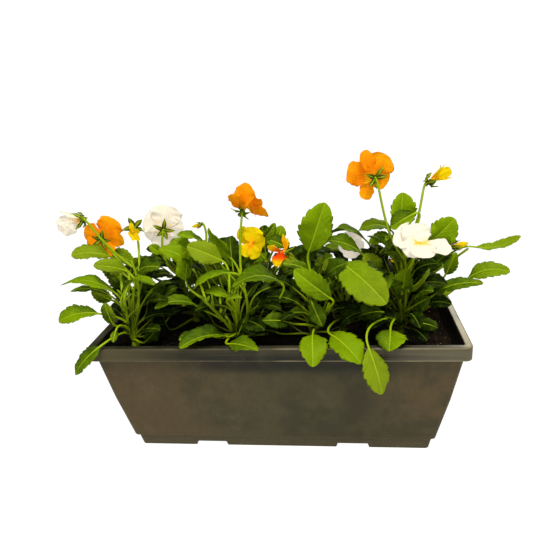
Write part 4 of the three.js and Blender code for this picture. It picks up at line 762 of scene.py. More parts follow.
@dataclass(frozen=True)
class Trough:
    """The moulded trough: sizes in millimetres, the same as the solid's."""

    length: float = 400.0
    depth: float = 170.0
    height: float = 138.0
    skirt: float = 15.0
    overhang: float = 6.5
    band: float = 7.0
    layer: float = 2.2
    rim_round: float = 1.5
    dip: float = 4.0
    wall: float = 2.2
    foot: float = 16.0
    ledge: float = 3.0
    taper: tuple[float, float] = (22.5, 16.5)
    bulge: float = 1.0
    flare: float = 1.8
    floor: float = 9.0
    channel: tuple[float, float] = (64.0, 97.5)
    channel_height: float = 5.5
    channel_flare: float = 2.0
    drain: float = 2.8
    drain_rows: tuple[float, ...] = (-32.0, 0.0, 32.0)
    sharp: float = 50.0     # degrees between two faces above which their edge stays sharp
    rim_corner: float = 8.0
    wall_corner: float = 5.0
    inner_corner: float = 3.0
    corner_steps: int = 9
    soil: float = 116.5

    def half(self, share: float) -> Array:
        """Half length and half depth of the wall's outside, at a share of the way to the skirt."""
        top = np.array([self.length / 2, self.depth / 2]) - self.overhang
        return top - np.array(self.taper) * (1 - share)

    def profile(self) -> Array:
        """Half length, half depth, height and corner radius of each ring, outside then inside."""
        rim = np.array([self.length / 2, self.depth / 2])
        low = self.height - self.skirt
        under = self.height - self.layer
        middle = (self.foot + low) / 2
        wall, under_rim = self.wall_corner, self.rim_corner - self.layer
        rounded, inner = self.rim_corner - self.rim_round, self.inner_corner
        rows = [
            (self.half(0) - 2 * self.ledge, 0.0, wall),
            (self.half(0) - self.ledge, self.foot - 0.6, wall),
            (self.half(0), self.foot, wall),
            (self.half(0.5) + self.bulge, middle, wall),
            (self.half(1), low, wall),
            (self.half(1) + self.flare, under, wall),
            (rim - self.layer, under, under_rim),
            (rim - self.layer, low, under_rim),
            (rim, low, self.rim_corner),
            (rim, self.height - self.rim_round * 0.4, self.rim_corner),
            (rim - self.rim_round, self.height, rounded),
            (rim - self.band, self.height, inner),
            (self.half(1) - self.wall + self.flare / 2, self.height - self.dip, inner),
            (self.half(1) - self.wall, low, inner),
            (self.half(0.5) - self.wall + self.bulge, middle, inner),
            (self.half(0) - self.wall, self.foot + self.wall, inner),
            (self.half(0) - self.wall - self.ledge, self.foot, inner),
            (self.half(0) - self.wall - 2 * self.ledge, self.floor, inner),
        ]
        return np.array([[*half, height, radius] for half, height, radius in rows])

    def softened(self, reach: float = 0.7, steps: int = 3) -> Array:
        """The profile with each inner vertex rounded by a quadratic curve.

        Args:
            reach: How far before and after a vertex its curve runs, in millimetres.
            steps: Spans of each curve.

        Returns:
            The rows of the rounded profile.
        """
        rows = self.profile()
        gap = np.linalg.norm(np.diff(rows[:, :3], axis=0), axis=1)
        near = np.minimum(reach, 0.4 * np.minimum(gap[:-1], gap[1:]))[:, None]
        before = rows[1:-1] + (rows[:-2] - rows[1:-1]) * near / gap[:-1, None]
        after = rows[1:-1] + (rows[2:] - rows[1:-1]) * near / gap[1:, None]
        t = np.linspace(0, 1, steps + 1)[None, :, None]
        arcs = (before[:, None] * (1 - t) ** 2 + rows[1:-1, None] * 2 * t * (1 - t)
                + after[:, None] * t ** 2)
        return np.concatenate([rows[:1], arcs.reshape(-1, 4), rows[-1:]])

    def outline(self, rows: Array, splits: int = 0) -> Array:
        """Rings of rounded rectangles, one for each row of the profile.

        Args:
            rows: Half length, half depth, height and corner radius of each ring.
            splits: Extra points along each side.

        Returns:
            The rings, as (rows, points, 3).
        """
        quarter = np.linspace(0, math.pi / 2, self.corner_steps + 1)
        angles = np.concatenate([quarter + k * math.pi / 2 for k in range(4)])
        sign_x = np.repeat([1, -1, -1, 1], self.corner_steps + 1)
        sign_y = np.repeat([1, 1, -1, -1], self.corner_steps + 1)
        half_x, half_y, height, radius = (rows[:, k, None] for k in range(4))
        x = sign_x * (half_x - radius) + radius * np.cos(angles)
        y = sign_y * (half_y - radius) + radius * np.sin(angles)
        rings = np.stack([x, y, np.broadcast_to(height, x.shape)], axis=-1)
        if not splits:
            return rings
        after = np.roll(rings, -1, axis=1)
        pieces = []
        for k in range(rings.shape[1]):
            pieces.append(rings[:, k:k + 1])
            if (k + 1) % (self.corner_steps + 1) == 0:
                share = (np.arange(splits) + 1)[None, :, None] / (splits + 1)
                pieces.append(rings[:, k:k + 1] * (1 - share) + after[:, k:k + 1] * share)
        return np.concatenate(pieces, axis=1)

    def cutters(self, sides: int = 20) -> bpy.types.Object:
        """The drainage channels and drain holes, as one object to cut away.

        Args:
            sides: Points round a drain hole.

        Returns:
            The object, which isn't a piece.
        """
        skin = Skin()
        inner, outer = self.channel
        span = self.depth / 2
        for sign in (-1, 1):
            low = [sign * (inner - self.channel_flare), sign * (outer + self.channel_flare)]
            top = [sign * inner, sign * outer]
            section = np.array([[low[0], -1], [low[1], -1], [top[1], self.channel_height],
                                [top[0], self.channel_height]])
            rings = np.stack([np.insert(section, 1, y, axis=1) for y in (-span, span)])
            skin.loft(rings)
            angles = np.arange(sides) * 2 * math.pi / sides
            for y in self.drain_rows:
                circle = np.stack([sign * (inner + outer) / 2 + self.drain * np.cos(angles),
                                   y + self.drain * np.sin(angles)], axis=-1)
                skin.loft(np.stack([np.insert(circle, 2, z, axis=1)
                                    for z in (self.channel_height - 0.5, self.floor + 1)]))
        cutter = bpy.data.objects.new("channels", skin.mesh("channels"))
        bpy.context.scene.collection.objects.link(cutter)
        return cutter

    def build(self, material: bpy.types.Material) -> None:
        """Makes the trough's piece: walls that run round the outline, then cuts in the foot."""
        skin = Skin()
        skin.loft(self.outline(self.softened()))
        piece = add_piece("trough_moulding", skin.mesh("trough_moulding"), material, "box_plastic",
                          "window_box")
        self.cut_foot(piece)
        piece.data.materials.clear()
        piece.data.materials.append(material)
        piece.data.set_sharp_from_angle(angle=math.radians(self.sharp))
        flat = piece.modifiers.new("flat_walls", "WEIGHTED_NORMAL")
        flat.weight = 100
        flat.keep_sharp = True

    def cut_foot(self, piece: bpy.types.Object) -> None:
        """Cuts the channels and the drain holes out of the piece, whose mesh is then the result."""
        cutter = self.cutters()
        cut = piece.modifiers.new("channels", "BOOLEAN")
        cut.operation = "DIFFERENCE"
        cut.object = cutter
        cut.solver = "EXACT"
        bpy.context.view_layer.update()
        graph = bpy.context.evaluated_depsgraph_get()
        baked = bpy.data.meshes.new_from_object(piece.evaluated_get(graph))
        piece.modifiers.clear()
        piece.data = baked
        bpy.data.objects.remove(cutter)


def rotated(shapes: Array, angles: Array, first: int, second: int) -> Array:
    """Shapes that are each turned from one axis towards another.

    Args:
        shapes: Points, as (shapes, points, 3).
        angles: Each shape's turn, in radians.
        first: The axis turned from, as an index.
        second: The axis turned towards.

    Returns:
        The turned points, where first becomes first·cos - second·sin and second first·sin +
        second·cos.
    """
    cos, sin = np.cos(angles)[:, None], np.sin(angles)[:, None]
    made = shapes.copy()
    made[..., first] = shapes[..., first] * cos - shapes[..., second] * sin
    made[..., second] = shapes[..., first] * sin + shapes[..., second] * cos
    return made


@dataclass(frozen=True)
class PottingMix:
    """Damp potting mix: a lumpy top, crumbs of bark and peat, and pale grains."""

    trough: Trough
    seed: int = 77
    crumbs: int = 2600
    rings: int = 46             # rings of the top, and extra points along each of its sides
    gap: float = 1.0            # between the mix and the trough's walls near the foot
    top_gap: float = 0.6
    floor_gap: float = 0.35
    brink: float = 2.5          # how far below the top the mix leaves the wall
    margin: float = 3.0         # between the crumbs and the walls
    pale_share: float = 0.07    # how many of the crumbs are pale grains
    pale_size: float = 1.2      # the largest pale grain
    small: float = 0.5          # the smallest crumb's half size, and how much larger at most
    larger: float = 1.5
    stretch: float = 1.6        # how much longer than wide a crumb is at most, as a share
    uneven: float = 0.35
    flat: float = 0.7
    tilt: float = 1.2           # how far the crumbs are tilted in all, in radians
    proud: float = 0.25         # how far they stand out of the mix, as a share of their size

    def height(self, x: Array, y: Array) -> Array:
        """The solid's top, with finer lumps: a sum of waves of falling length."""
        top = (self.trough.soil + 1.7 * np.sin(x / 31 + 0.6) * np.cos(y / 19)
               + 1.2 * np.sin(x / 13 + y / 11))
        lumps = (0.7 * np.sin(x / 4.1 + 2 * np.sin(y / 7)) * np.sin(y / 3.7 + 1.5 * np.sin(x / 5))
                 + 0.4 * np.sin(x / 1.9 + np.sin(y / 2.3)) * np.sin(y / 1.7 + x / 3))
        return top + lumps

    def build(self, material: bpy.types.Material, grains: bpy.types.Material) -> None:
        """Makes the body of the mix, and its crumbs as one mesh of small faceted stones."""
        trough = self.trough
        low = trough.height - trough.skirt
        corner = trough.inner_corner
        share = (trough.soil - trough.foot) / (low - trough.foot)
        edge = trough.half(share) - trough.wall - self.top_gap
        foot = trough.half(0) - trough.wall - self.gap
        rows = [[*(foot - 2 * trough.ledge), trough.floor + self.floor_gap, corner],
                [*(foot - trough.ledge), trough.foot, corner],
                [*foot, trough.foot + trough.wall + self.gap, corner],
                [*edge, trough.soil - self.brink, corner]]
        sides = len(rows)
        rows += [[*(edge * max(scale, 1e-9)), 0.0, corner * scale]
                 for scale in np.linspace(1, 0, self.rings)]
        rings = trough.outline(np.array(rows, float), splits=self.rings)
        top = rings[sides:]
        top[..., 2] = self.height(top[..., 0], top[..., 1])
        rings[-1] = rings[-1].mean(axis=0)
        skin = Skin()
        skin.loft(rings)
        add_piece("potting_mix_body", skin.mesh("potting_mix_body"), material, "potting_mix",
                  "potting_mix")
        self.scatter(edge, grains)

    def scatter(self, edge: Array, material: bpy.types.Material) -> None:
        """Seeds the crumbs over the top: octahedra stretched, turned and sunk by seeded draws.

        Args:
            edge: Half length and half depth of the mix at its top.
            material: The crumbs' finish.
        """
        rng = np.random.default_rng(self.seed)
        n = self.crumbs
        x = (rng.random(n) * 2 - 1) * (edge[0] - self.margin)
        y = (rng.random(n) * 2 - 1) * (edge[1] - self.margin)
        size = self.small + self.larger * rng.random(n) ** 3
        long = 1 + self.stretch * rng.random(n) ** 2
        corners = np.array([[1, 0, 0], [0, 1, 0], [-1, 0, 0], [0, -1, 0], [0, 0, 1], [0, 0, -1]])
        shape = corners[None] * (1 + self.uneven * (rng.random((n, len(corners), 1)) - 0.5))
        shape = shape * np.stack([size * long, size, size * self.flat], axis=-1)[:, None]
        turn, tilt = rng.random(n) * 2 * math.pi, (rng.random(n) - 0.5) * self.tilt
        shape = rotated(rotated(shape, tilt, 0, 2), turn, 0, 1)
        shape += np.stack([x, y, self.height(x, y) + self.proud * size], axis=-1)[:, None]
        faces = np.array([[0, 1, 4], [1, 2, 4], [2, 3, 4], [3, 0, 4],
                          [1, 0, 5], [2, 1, 5], [3, 2, 5], [0, 3, 5]])
        skin = Skin()
        skin.points.append(shape.reshape(-1, 3))
        skin.corners.append((faces[None] + len(corners) * np.arange(n)[:, None, None]).ravel())
        skin.sizes.append(np.full(len(faces) * n, 3))
        pale = (rng.random(n) > 1 - self.pale_share) & (size < self.pale_size)
        tone = np.stack([pale, rng.random(n), rng.random(n)], axis=-1).astype(float)
        skin.carried["tone"] = [np.repeat(tone, len(corners), axis=0)]
        skin.count = len(corners) * n
        mesh = skin.mesh("potting_mix_crumbs")
        mesh.polygons.foreach_set("use_smooth", np.zeros(len(faces) * n, bool))
        add_piece("potting_mix_crumbs", mesh, material, "potting_mix", "potting_mix")


# ---------- plants ----------

LEAF_FORM = BladeForm(stations=60, across=16, early=1.0, foot=1.25, tip=0.6, rounder=0.75,
                      thickness=0.5, teeth=7, tooth_depth=0.2, cup=0.2, ripple=0.15, ripples=1.3,
                      groove=0.3, quilt=0.55, veins=6, uneven=0.3, twist=0.8, crowding=1.3)
INNER_FORM = replace(LEAF_FORM, stations=24, across=8)
SEPAL_FORM = BladeForm(stations=14, across=6, early=0.7, foot=0.7, tip=0.9, thickness=0.5, cup=0.35,
                       ripple=0.2, groove=0.25, twist=1.2)
STIPULE_FORM = BladeForm(stations=10, across=4, early=0.8, foot=0.8, tip=0.8, thickness=0.4,
                         cup=0.2, groove=0.1)

# A filling leaf, as shares of its length: how far it reaches out and its width. Then how far it
# tilts outwards, its arch and its fold.
FILLER_REACH = 0.9
FILLER_WIDTH = 0.62
FILLER_TILT = 0.25
FILLER_ARCH = 6
FILLER_FOLD = 0.15

# How a leaf that meets its neighbours is bent: back and down by so much or, below 0, the other way,
# and then up, with a lean back or to the front.
INWARD = np.array([-0.12, 0.94, -0.33])
BEND_STEPS = (4, -4, 8, -8, 12, -12, 16, -16, 20, -20, 26, -26)
LIFT_STEPS = (3, 6, 9, 12, 16)
LIFT_LEAN = 6


def shifts() -> Array:
    """The shifts that bend a leaf clear of its neighbours, in the order that they are tried."""
    listed = [np.zeros(3)]
    listed += [INWARD * step for step in BEND_STEPS]
    for step in LIFT_STEPS:
        listed += [UP * step, UP * step + INWARD * LIFT_LEAN, UP * step - INWARD * LIFT_LEAN]
    return np.array(listed)


class FillerDraws:
    """The generator that the filling leaves draw from: x → 1664525·x + 1013904223 modulo 2³²."""

    def __init__(self, seed: int) -> None:
        """Starts at the seed."""
        self.state = seed

    def draw(self, least: float, span: float) -> float:
        """The next number, from least to least + span."""
        self.state = (self.state * 1664525 + 1013904223) % 2 ** 32
        return least + span * self.state / 2 ** 32


def filler_leaves() -> list[tuple[int, Blade]]:
    """The leaves that fill each plant out, turned by the golden angle about straight back."""
    draws = FillerDraws(FILLER_SEED)
    leaves = []
    for plant, count, first, spread in FILLERS:
        x, y = PLANTS[plant][0]
        for k in range(count):
            azimuth = math.pi / 2 + math.sin(first + k * GOLDEN_ANGLE) * spread
            near = draws.draw(*FILLER_NEAR)
            length = draws.draw(*FILLER_LENGTH)
            height = draws.draw(*FILLER_HEIGHT)
            out = np.array([math.cos(azimuth), math.sin(azimuth), 0.0])
            base = np.array([x, y, height]) + out * near
            tip = base + out * length * FILLER_REACH + UP * draws.draw(*FILLER_RISE)
            leaves.append((plant, Blade(base, tip, UP + out * FILLER_TILT, length * FILLER_WIDTH,
                                        FILLER_ARCH, FILLER_FOLD)))
    return leaves


@dataclass(frozen=True)
class InnerLeaves:
    """Shaded leaves that fill the plants' hearts, in a spiral that climbs from each crown."""

    trough: Trough
    count: int = 34
    more_at_back: int = 10
    more_at_end: int = 16
    seed: int = 914
    low: float = 128.0
    climb: float = 84.0
    less_at_back: float = 12.0
    back: float = 30.0      # a crown further back than this spreads its leaves along the row
    spread: float = 1.9
    end: float = 120.0      # crowns further out than this have no neighbour to hide behind
    view: float = 0.9       # half of the space kept free round a bloom, as a share of its size
    view_front: float = -60.0
    view_back: float = 15.0
    walled: tuple[float, float] = (176.0, 62.0)     # half sizes of the space between the walls
    clear: tuple[float, float] = (12.0, 5.0)        # kept above the rim and above the mix
    width: float = 200.0    # half sizes of the space above the rim
    front: float = -58.0
    rear: float = 86.0
    turn: float = 1.3       # from one plant's spiral to the next, in radians
    near: float = 10.0      # how far out the leaves start, and how much further at most
    further: float = 34.0
    short: float = 24.0     # how long they are, and how much longer at most
    longer: float = 16.0
    least_rise: float = -0.15
    more_rise: float = 1.3
    slim: float = 0.5       # width as a share of length, and how much wider at most
    wider: float = 0.25
    arch: float = 3.0
    fold: float = 0.2
    light_in_front: float = 0.32    # daylight, as a share of what a leaf's place would get
    light_behind: float = 0.22

    def inside(self, point: Array) -> bool:
        """Whether a point is clear of the trough's walls and the blooms, and not out in front."""
        for _, _, centre, _, size, *_ in BLOOMS:
            off = point - np.array(centre, float)
            beside = max(abs(off[0]), abs(off[2])) > self.view * size
            if not beside and self.view_front < off[1] < self.view_back:
                return False
        over_rim, over_mix = self.clear
        if point[2] < self.trough.height + over_rim:
            between = abs(point[0]) < self.walled[0] and abs(point[1]) < self.walled[1]
            return between and point[2] > self.trough.soil + over_mix
        return abs(point[0]) < self.width and self.front < point[1] < self.rear

    def grow(self) -> list[tuple[int, Blade]]:
        """Lays the leaves by the golden angle, with seeded lengths and turns."""
        rng = np.random.default_rng(self.seed)
        leaves = []
        for plant, (crown, _) in enumerate(PLANTS):
            back = crown[1] > self.back
            count = (self.count + self.more_at_back * back
                     + self.more_at_end * (abs(crown[0]) > self.end))
            for k in range(count):
                draw = rng.random(6)
                tier = (k + draw[0]) / count
                azimuth = plant * self.turn + k * GOLDEN_ANGLE
                blade = self.leaf(np.array(crown, float), back, tier, azimuth, draw)
                if self.inside(blade.base) and self.inside(blade.tip):
                    leaves.append((plant, blade))
        return leaves

    def leaf(self, crown: Array, back: bool, tier: float, azimuth: float, draw: Array) -> Blade:
        """One leaf of a plant's spiral.

        Args:
            crown: Where the plant stands.
            back: Whether it stands in the back row.
            tier: How far up the spiral the leaf is, from 0 to 1.
            azimuth: The way that it grows, in radians.
            draw: Draws from 0 to 1 for its place, length, rise, turn and width.

        Returns:
            The leaf's blade.
        """
        out = np.array([math.cos(azimuth), math.sin(azimuth), 0.0])
        reach = self.near + self.further * draw[1] * (1 - 0.5 * tier)
        along = np.array([self.spread if back else 1.0, 1.0, 0.0])
        height = self.low + (self.climb - self.less_at_back * back) * tier
        base = np.array([*crown, height]) + out * along * reach
        length = self.short + self.longer * draw[2]
        rise = self.least_rise + self.more_rise * draw[3]
        tip = base + length * direction(out + UP * rise)
        face = direction(UP * 0.8 - out * rise + np.array([0.0, -0.8 * draw[4], 0.0]))
        width = length * (self.slim + self.wider * draw[5])
        return Blade(base, tip, face, width, self.arch * (1 + draw[4]), self.fold)


@dataclass
class Finishes:
    """The finishes that the planting is dressed in."""

    leaf: bpy.types.Material
    stem: bpy.types.Material
    sepal: bpy.types.Material
    petals: dict[str, bpy.types.Material]
    eye: bpy.types.Material


# The crown's rings: height and radius.
CROWN = ((95, 1.6), (104, 2.8), (112, 3.6), (118, 4.6), (122, 3.4), (126, 1.6))


@dataclass
class PansyPlant:
    """One plant: crown, leafy stems, leaves with their petioles and stipules, stalks, calyces."""

    number: int
    crown: tuple[float, float]
    stems: Sequence[Sequence[Sequence[float]]]
    seed: int = 5100
    stem_radius: float = 2.0
    petiole_radius: float = 1.3
    stalk_radius: float = 1.35
    stem_rings: int = 22
    stalk_rings: int = 40
    petiole_rings: int = 16
    top: float = 122.0
    samples: int = 14           # points of a stem that a side shoot can start at
    leaf_axil: float = 0.62     # how far up to its blade a leaf's axil may be, as a share
    stalk_axil: float = 0.8
    stem_share: float = 0.35    # how many of the inner leaves start at a stem, not the crown
    crown_edge: float = 2.5
    near: float = 0.05          # how near to its solid's vertex a leaf's tip is found
    shaded_below: float = 128.0     # no daylight below this, and all of it this much further up
    daylight_rise: float = 78.0
    shaded_behind: float = 42.0     # the same towards the front
    daylight_front: float = 34.0
    rib_end: float = 0.94       # share of the blade that the midrib reaches
    rib_depth: float = 0.25     # how far the midrib lies in the blade
    leave: float = 0.2          # where a petiole's control points are, as shares of its reach:
    lift: float = 0.15          # along it and above it near the axil, and before the blade
    enter: float = 0.35
    stipule_clear: float = 6.0  # how far above the crown's top an axil with stipules is
    stipule_toward: int = 5     # the petiole's point that they lie towards
    stipule_length: tuple[float, float] = (7.0, 6.0)    # least, and how much more at most
    stipule_width: tuple[float, float] = (3.4, 1.4)
    stipule_arch: float = 0.8
    stipule_fold: float = 0.2
    leaves: Skin = field(default_factory=Skin)
    greens: Skin = field(default_factory=Skin)
    calyces: Skin = field(default_factory=Skin)

    def __post_init__(self) -> None:
        """Reads where the plant's solid has its vertices, and grows the crown and the stems."""
        self.node = f"pansy_plant_{self.number + 1}"
        self.rng = np.random.default_rng(self.seed + self.number)
        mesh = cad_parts[self.node].data
        corners = np.zeros(len(mesh.vertices) * 3, np.float32)
        mesh.vertices.foreach_get("co", corners)
        self.corners = corners.reshape(-1, 3).astype(float) / MM
        heights, radii = np.array(CROWN, float).T
        spine = np.array([[*self.crown, height] for height in heights])
        tube(self.greens, spine, np.tile(UP, (len(CROWN), 1)), radii, np.array([0, 1.0, 0]), 10)
        for points in self.stems:
            where, way = bezier(points, np.linspace(0, 1, self.stem_rings))
            radii = self.stem_radius * np.linspace(1, 0.7, self.stem_rings)
            tube(self.greens, where, way, radii, ASLANT, 9)

    def axil(self, target: Array, share: float) -> Array:
        """The nearest of the stems' sample points that is low enough for a side shoot to start at.

        Args:
            target: Where the side shoot goes.
            share: How far up to the target's height it may start.

        Returns:
            The point, or the foot of the first stem where none is low enough.
        """
        limit = max(self.top + share * (target[2] - self.top), self.top)
        steps = np.linspace(0, 1, self.samples)
        samples = np.concatenate([bezier(points, steps)[0] for points in self.stems])
        low = samples[samples[:, 2] <= limit]
        if not len(low):
            return np.asarray(self.stems[0][0], float)
        return low[np.argmin(np.linalg.norm(low - target, axis=1))]

    def bent(self, blade: Blade) -> Blade | None:
        """The blade as the solid has it, bent clear of its neighbours, or None if it isn't there."""
        trials = shifts()
        gaps = np.linalg.norm(self.corners[None] - (blade.tip + trials)[:, None], axis=2)
        found = np.flatnonzero(gaps.min(axis=1) < self.near)
        if not len(found):
            return None
        shift = trials[found[0]]
        return replace(blade, base=blade.base + 0.5 * shift, tip=blade.tip + shift)

    def light(self, rings: Array) -> Array:
        """How much daylight the points get, from 0 at the crown to 1 at the top and in front."""
        height = (rings[..., 2] - self.shaded_below) / self.daylight_rise
        front = (-rings[..., 1] - self.shaded_behind) / self.daylight_front
        return np.clip(np.maximum(height, front), 0, 1)

    def add_leaf(self, blade: Blade) -> bool:
        """Grows a leaf that the plant's solid has: blade, midrib, petiole and stipules.

        Args:
            blade: Where the leaf was meant to lie.

        Returns:
            Whether the plant's solid has it.
        """
        found = self.bent(blade)
        if found is not None:
            self.lay_leaf(found, LEAF_FORM, 1.0)
        return found is not None

    def lay_leaf(self, blade: Blade, form: BladeForm, share: float) -> None:
        """Lays a leaf where it is.

        Args:
            blade: Where it lies.
            form: How it is shaped.
            share: Its daylight, as a share of what its place would get.
        """
        draw = self.rng.random(6)
        lay_blade(self.leaves, blade, form, draw, (share, draw[4], draw[5]), self.light)
        start = self.axil(blade.base, self.leaf_axil)
        if share < 1 and draw[4] > self.stem_share:
            aside = across(blade.base - blade.tip, UP)
            start = np.array([*self.crown, self.top]) + self.crown_edge * aside
        self.add_petiole(blade, start, share)

    def add_petiole(self, blade: Blade, start: Array, share: float) -> None:
        """Grows the petiole from its axil into the blade, where it runs on as the midrib.

        Args:
            blade: The leaf's blade.
            start: The axil.
            share: Its daylight, as for the leaf.
        """
        along = blade.tip - blade.base
        length = float(np.linalg.norm(along))
        up = across(blade.face, along / length)
        count = self.petiole_rings
        t = np.linspace(0, self.rib_end, count)
        rib = blade.base + along * t[:, None] + up * (blade.arch * 4 * t * (1 - t))[:, None]
        way0 = direction(along + up * blade.arch * 4)
        reach = float(np.linalg.norm(start - blade.base))
        rise = start + self.leave * (blade.base - start) + UP * reach * self.lift
        curve, _ = bezier([start, rise, blade.base - way0 * reach * self.enter, blade.base],
                          np.linspace(0, 1, count))
        spine = np.concatenate([curve, rib[1:] - up * self.rib_depth])
        ways = np.gradient(spine, axis=0)
        ways /= np.linalg.norm(ways, axis=1, keepdims=True)
        thick = self.petiole_radius * (0.7 + 0.3 * share)
        radii = thick * np.concatenate([np.linspace(1.15, 0.9, count),
                                        np.linspace(0.8, 0.2, count - 1)])
        tube(self.greens, spine, ways, radii, up + 0.01, 8, 0.85,
             tone=(share * 0.7 + 0.2, 0.5, 0.5))
        if share == 1:
            for sign in (-1, 1):
                self.add_stipule(start, curve[self.stipule_toward], up, sign)

    def add_stipule(self, start: Array, toward: Array, up: Array, sign: int) -> None:
        """Adds a narrow leafy lobe beside the foot of a petiole.

        Args:
            start: The axil.
            toward: A point of the petiole.
            up: The way that the leaf's upper side faces.
            sign: Which side of the petiole the lobe is on.
        """
        draw = self.rng.random(5)
        if start[2] < self.top + self.stipule_clear:
            return
        out = direction(toward - start)
        side = direction(np.cross(out, up))
        (reach, further), (slim, wider) = self.stipule_length, self.stipule_width
        way = direction(out + sign * side * (0.5 + 0.5 * draw[3]) + UP * 0.4)
        blade = Blade(start, start + (reach + further * draw[4]) * way, up, slim + wider * draw[2],
                      self.stipule_arch, self.stipule_fold)
        lay_blade(self.leaves, blade, STIPULE_FORM, draw, (1.0, draw[1], draw[0]), self.light)

    def add_stalk(self, low: Array, high: Array, end: Array) -> None:
        """Grows a flower stalk from its axil to the back of a calyx.

        Args:
            low: The lower control point of its curve.
            high: The upper control point.
            end: Where it meets the calyx.
        """
        where, way = bezier([self.axil(low, self.stalk_axil), low, high, end],
                            np.linspace(0, 1, self.stalk_rings))
        radii = self.stalk_radius * np.linspace(1.05, 0.9, self.stalk_rings)
        tube(self.greens, where, way, radii, ASLANT, 9, tone=(0.95, 0.5, 0.5))

    def build(self, finishes: Finishes) -> None:
        """Makes the plant's pieces."""
        name = f"plant_{self.number + 1}"
        for part, skin, finish in (("leaves", self.leaves, finishes.leaf),
                                   ("stems", self.greens, finishes.stem),
                                   ("calyces", self.calyces, finishes.sepal)):
            if skin.count:
                add_piece(f"{name}_{part}", skin.mesh(f"{name}_{part}"), finish, "leaf_green",
                          self.node)


# ---------- blooms and buds ----------


@dataclass(frozen=True)
class Petal:
    """One petal of a bloom, whose sizes are shares of the bloom's petal length."""

    turn: float     # from the top of the bloom, in radians
    width: float
    length: float
    layer: float    # how far in front of the first petal its foot stands, in millimetres
    arch: float


PETALS = (
    Petal(0.5, 1.05, 0.97, 0.0, -0.06),
    Petal(-0.5, 1.05, 1.0, 1.3, -0.06),
    Petal(1.75, 0.92, 0.9, 2.6, 0.05),
    Petal(-1.75, 0.92, 0.92, 3.9, 0.05),
    Petal(math.pi, 1.2, 0.95, 5.2, 0.08),
)
PETAL_FORM = BladeForm(stations=36, across=20, early=1.45, foot=0.7, tip=0.5, blunt=(0.3, 0.25),
                       thickness=0.45, cup=0.14, ripple=0.15, ripples=1.5, ragged=0.05)
HALF_OPEN_FORM = replace(PETAL_FORM, ripple=0.05, cup=0.25, ragged=0.03)

# How far the sepals lean the way that the bloom faces, in radians, and the blooms that differ.
SEPAL_LEAN = -0.22
SEPAL_LEANS = {"bloom_white_far_left": 0.6, "bud_yellow_left": 0.0, "bud_yellow_tall": 0.9}


def plain(name: str) -> str:
    """A node's name without its first word."""
    return name.partition("_")[2]


# Round bodies along a bloom's axis, ring by ring: distance and radius. The eye's plug runs forward
# from the calyx, and the hubs that the sepals stand on run back from it.
EYE_PLUG = ((0.5, 1.5), (3.0, 1.9), (5.5, 1.9), (7.0, 1.5), (7.8, 0.7))
CALYX_HUB = ((0.0, 2.2), (1.0, 2.7), (2.2, 2.4), (3.2, 1.3))
BUD_HUB = ((-0.5, 1.9), (0.8, 2.2), (2.0, 1.9), (2.8, 1.1))

# The stigma: its distance along the axis and above it, its radius and its rings.
STIGMA = (8.0, 0.4, 0.8, 7)

# How far behind the centre the stalk ends, inside the calyx.
STALK_DEPTH = 2.0

# Where a furled bud swells: share of its length, and radius as a share of its length.
BUD_SHARES = (0.03, 0.3, 0.6, 0.85, 1)
BUD_RADII = (0.08, 0.17, 0.19, 0.12, 0.03)


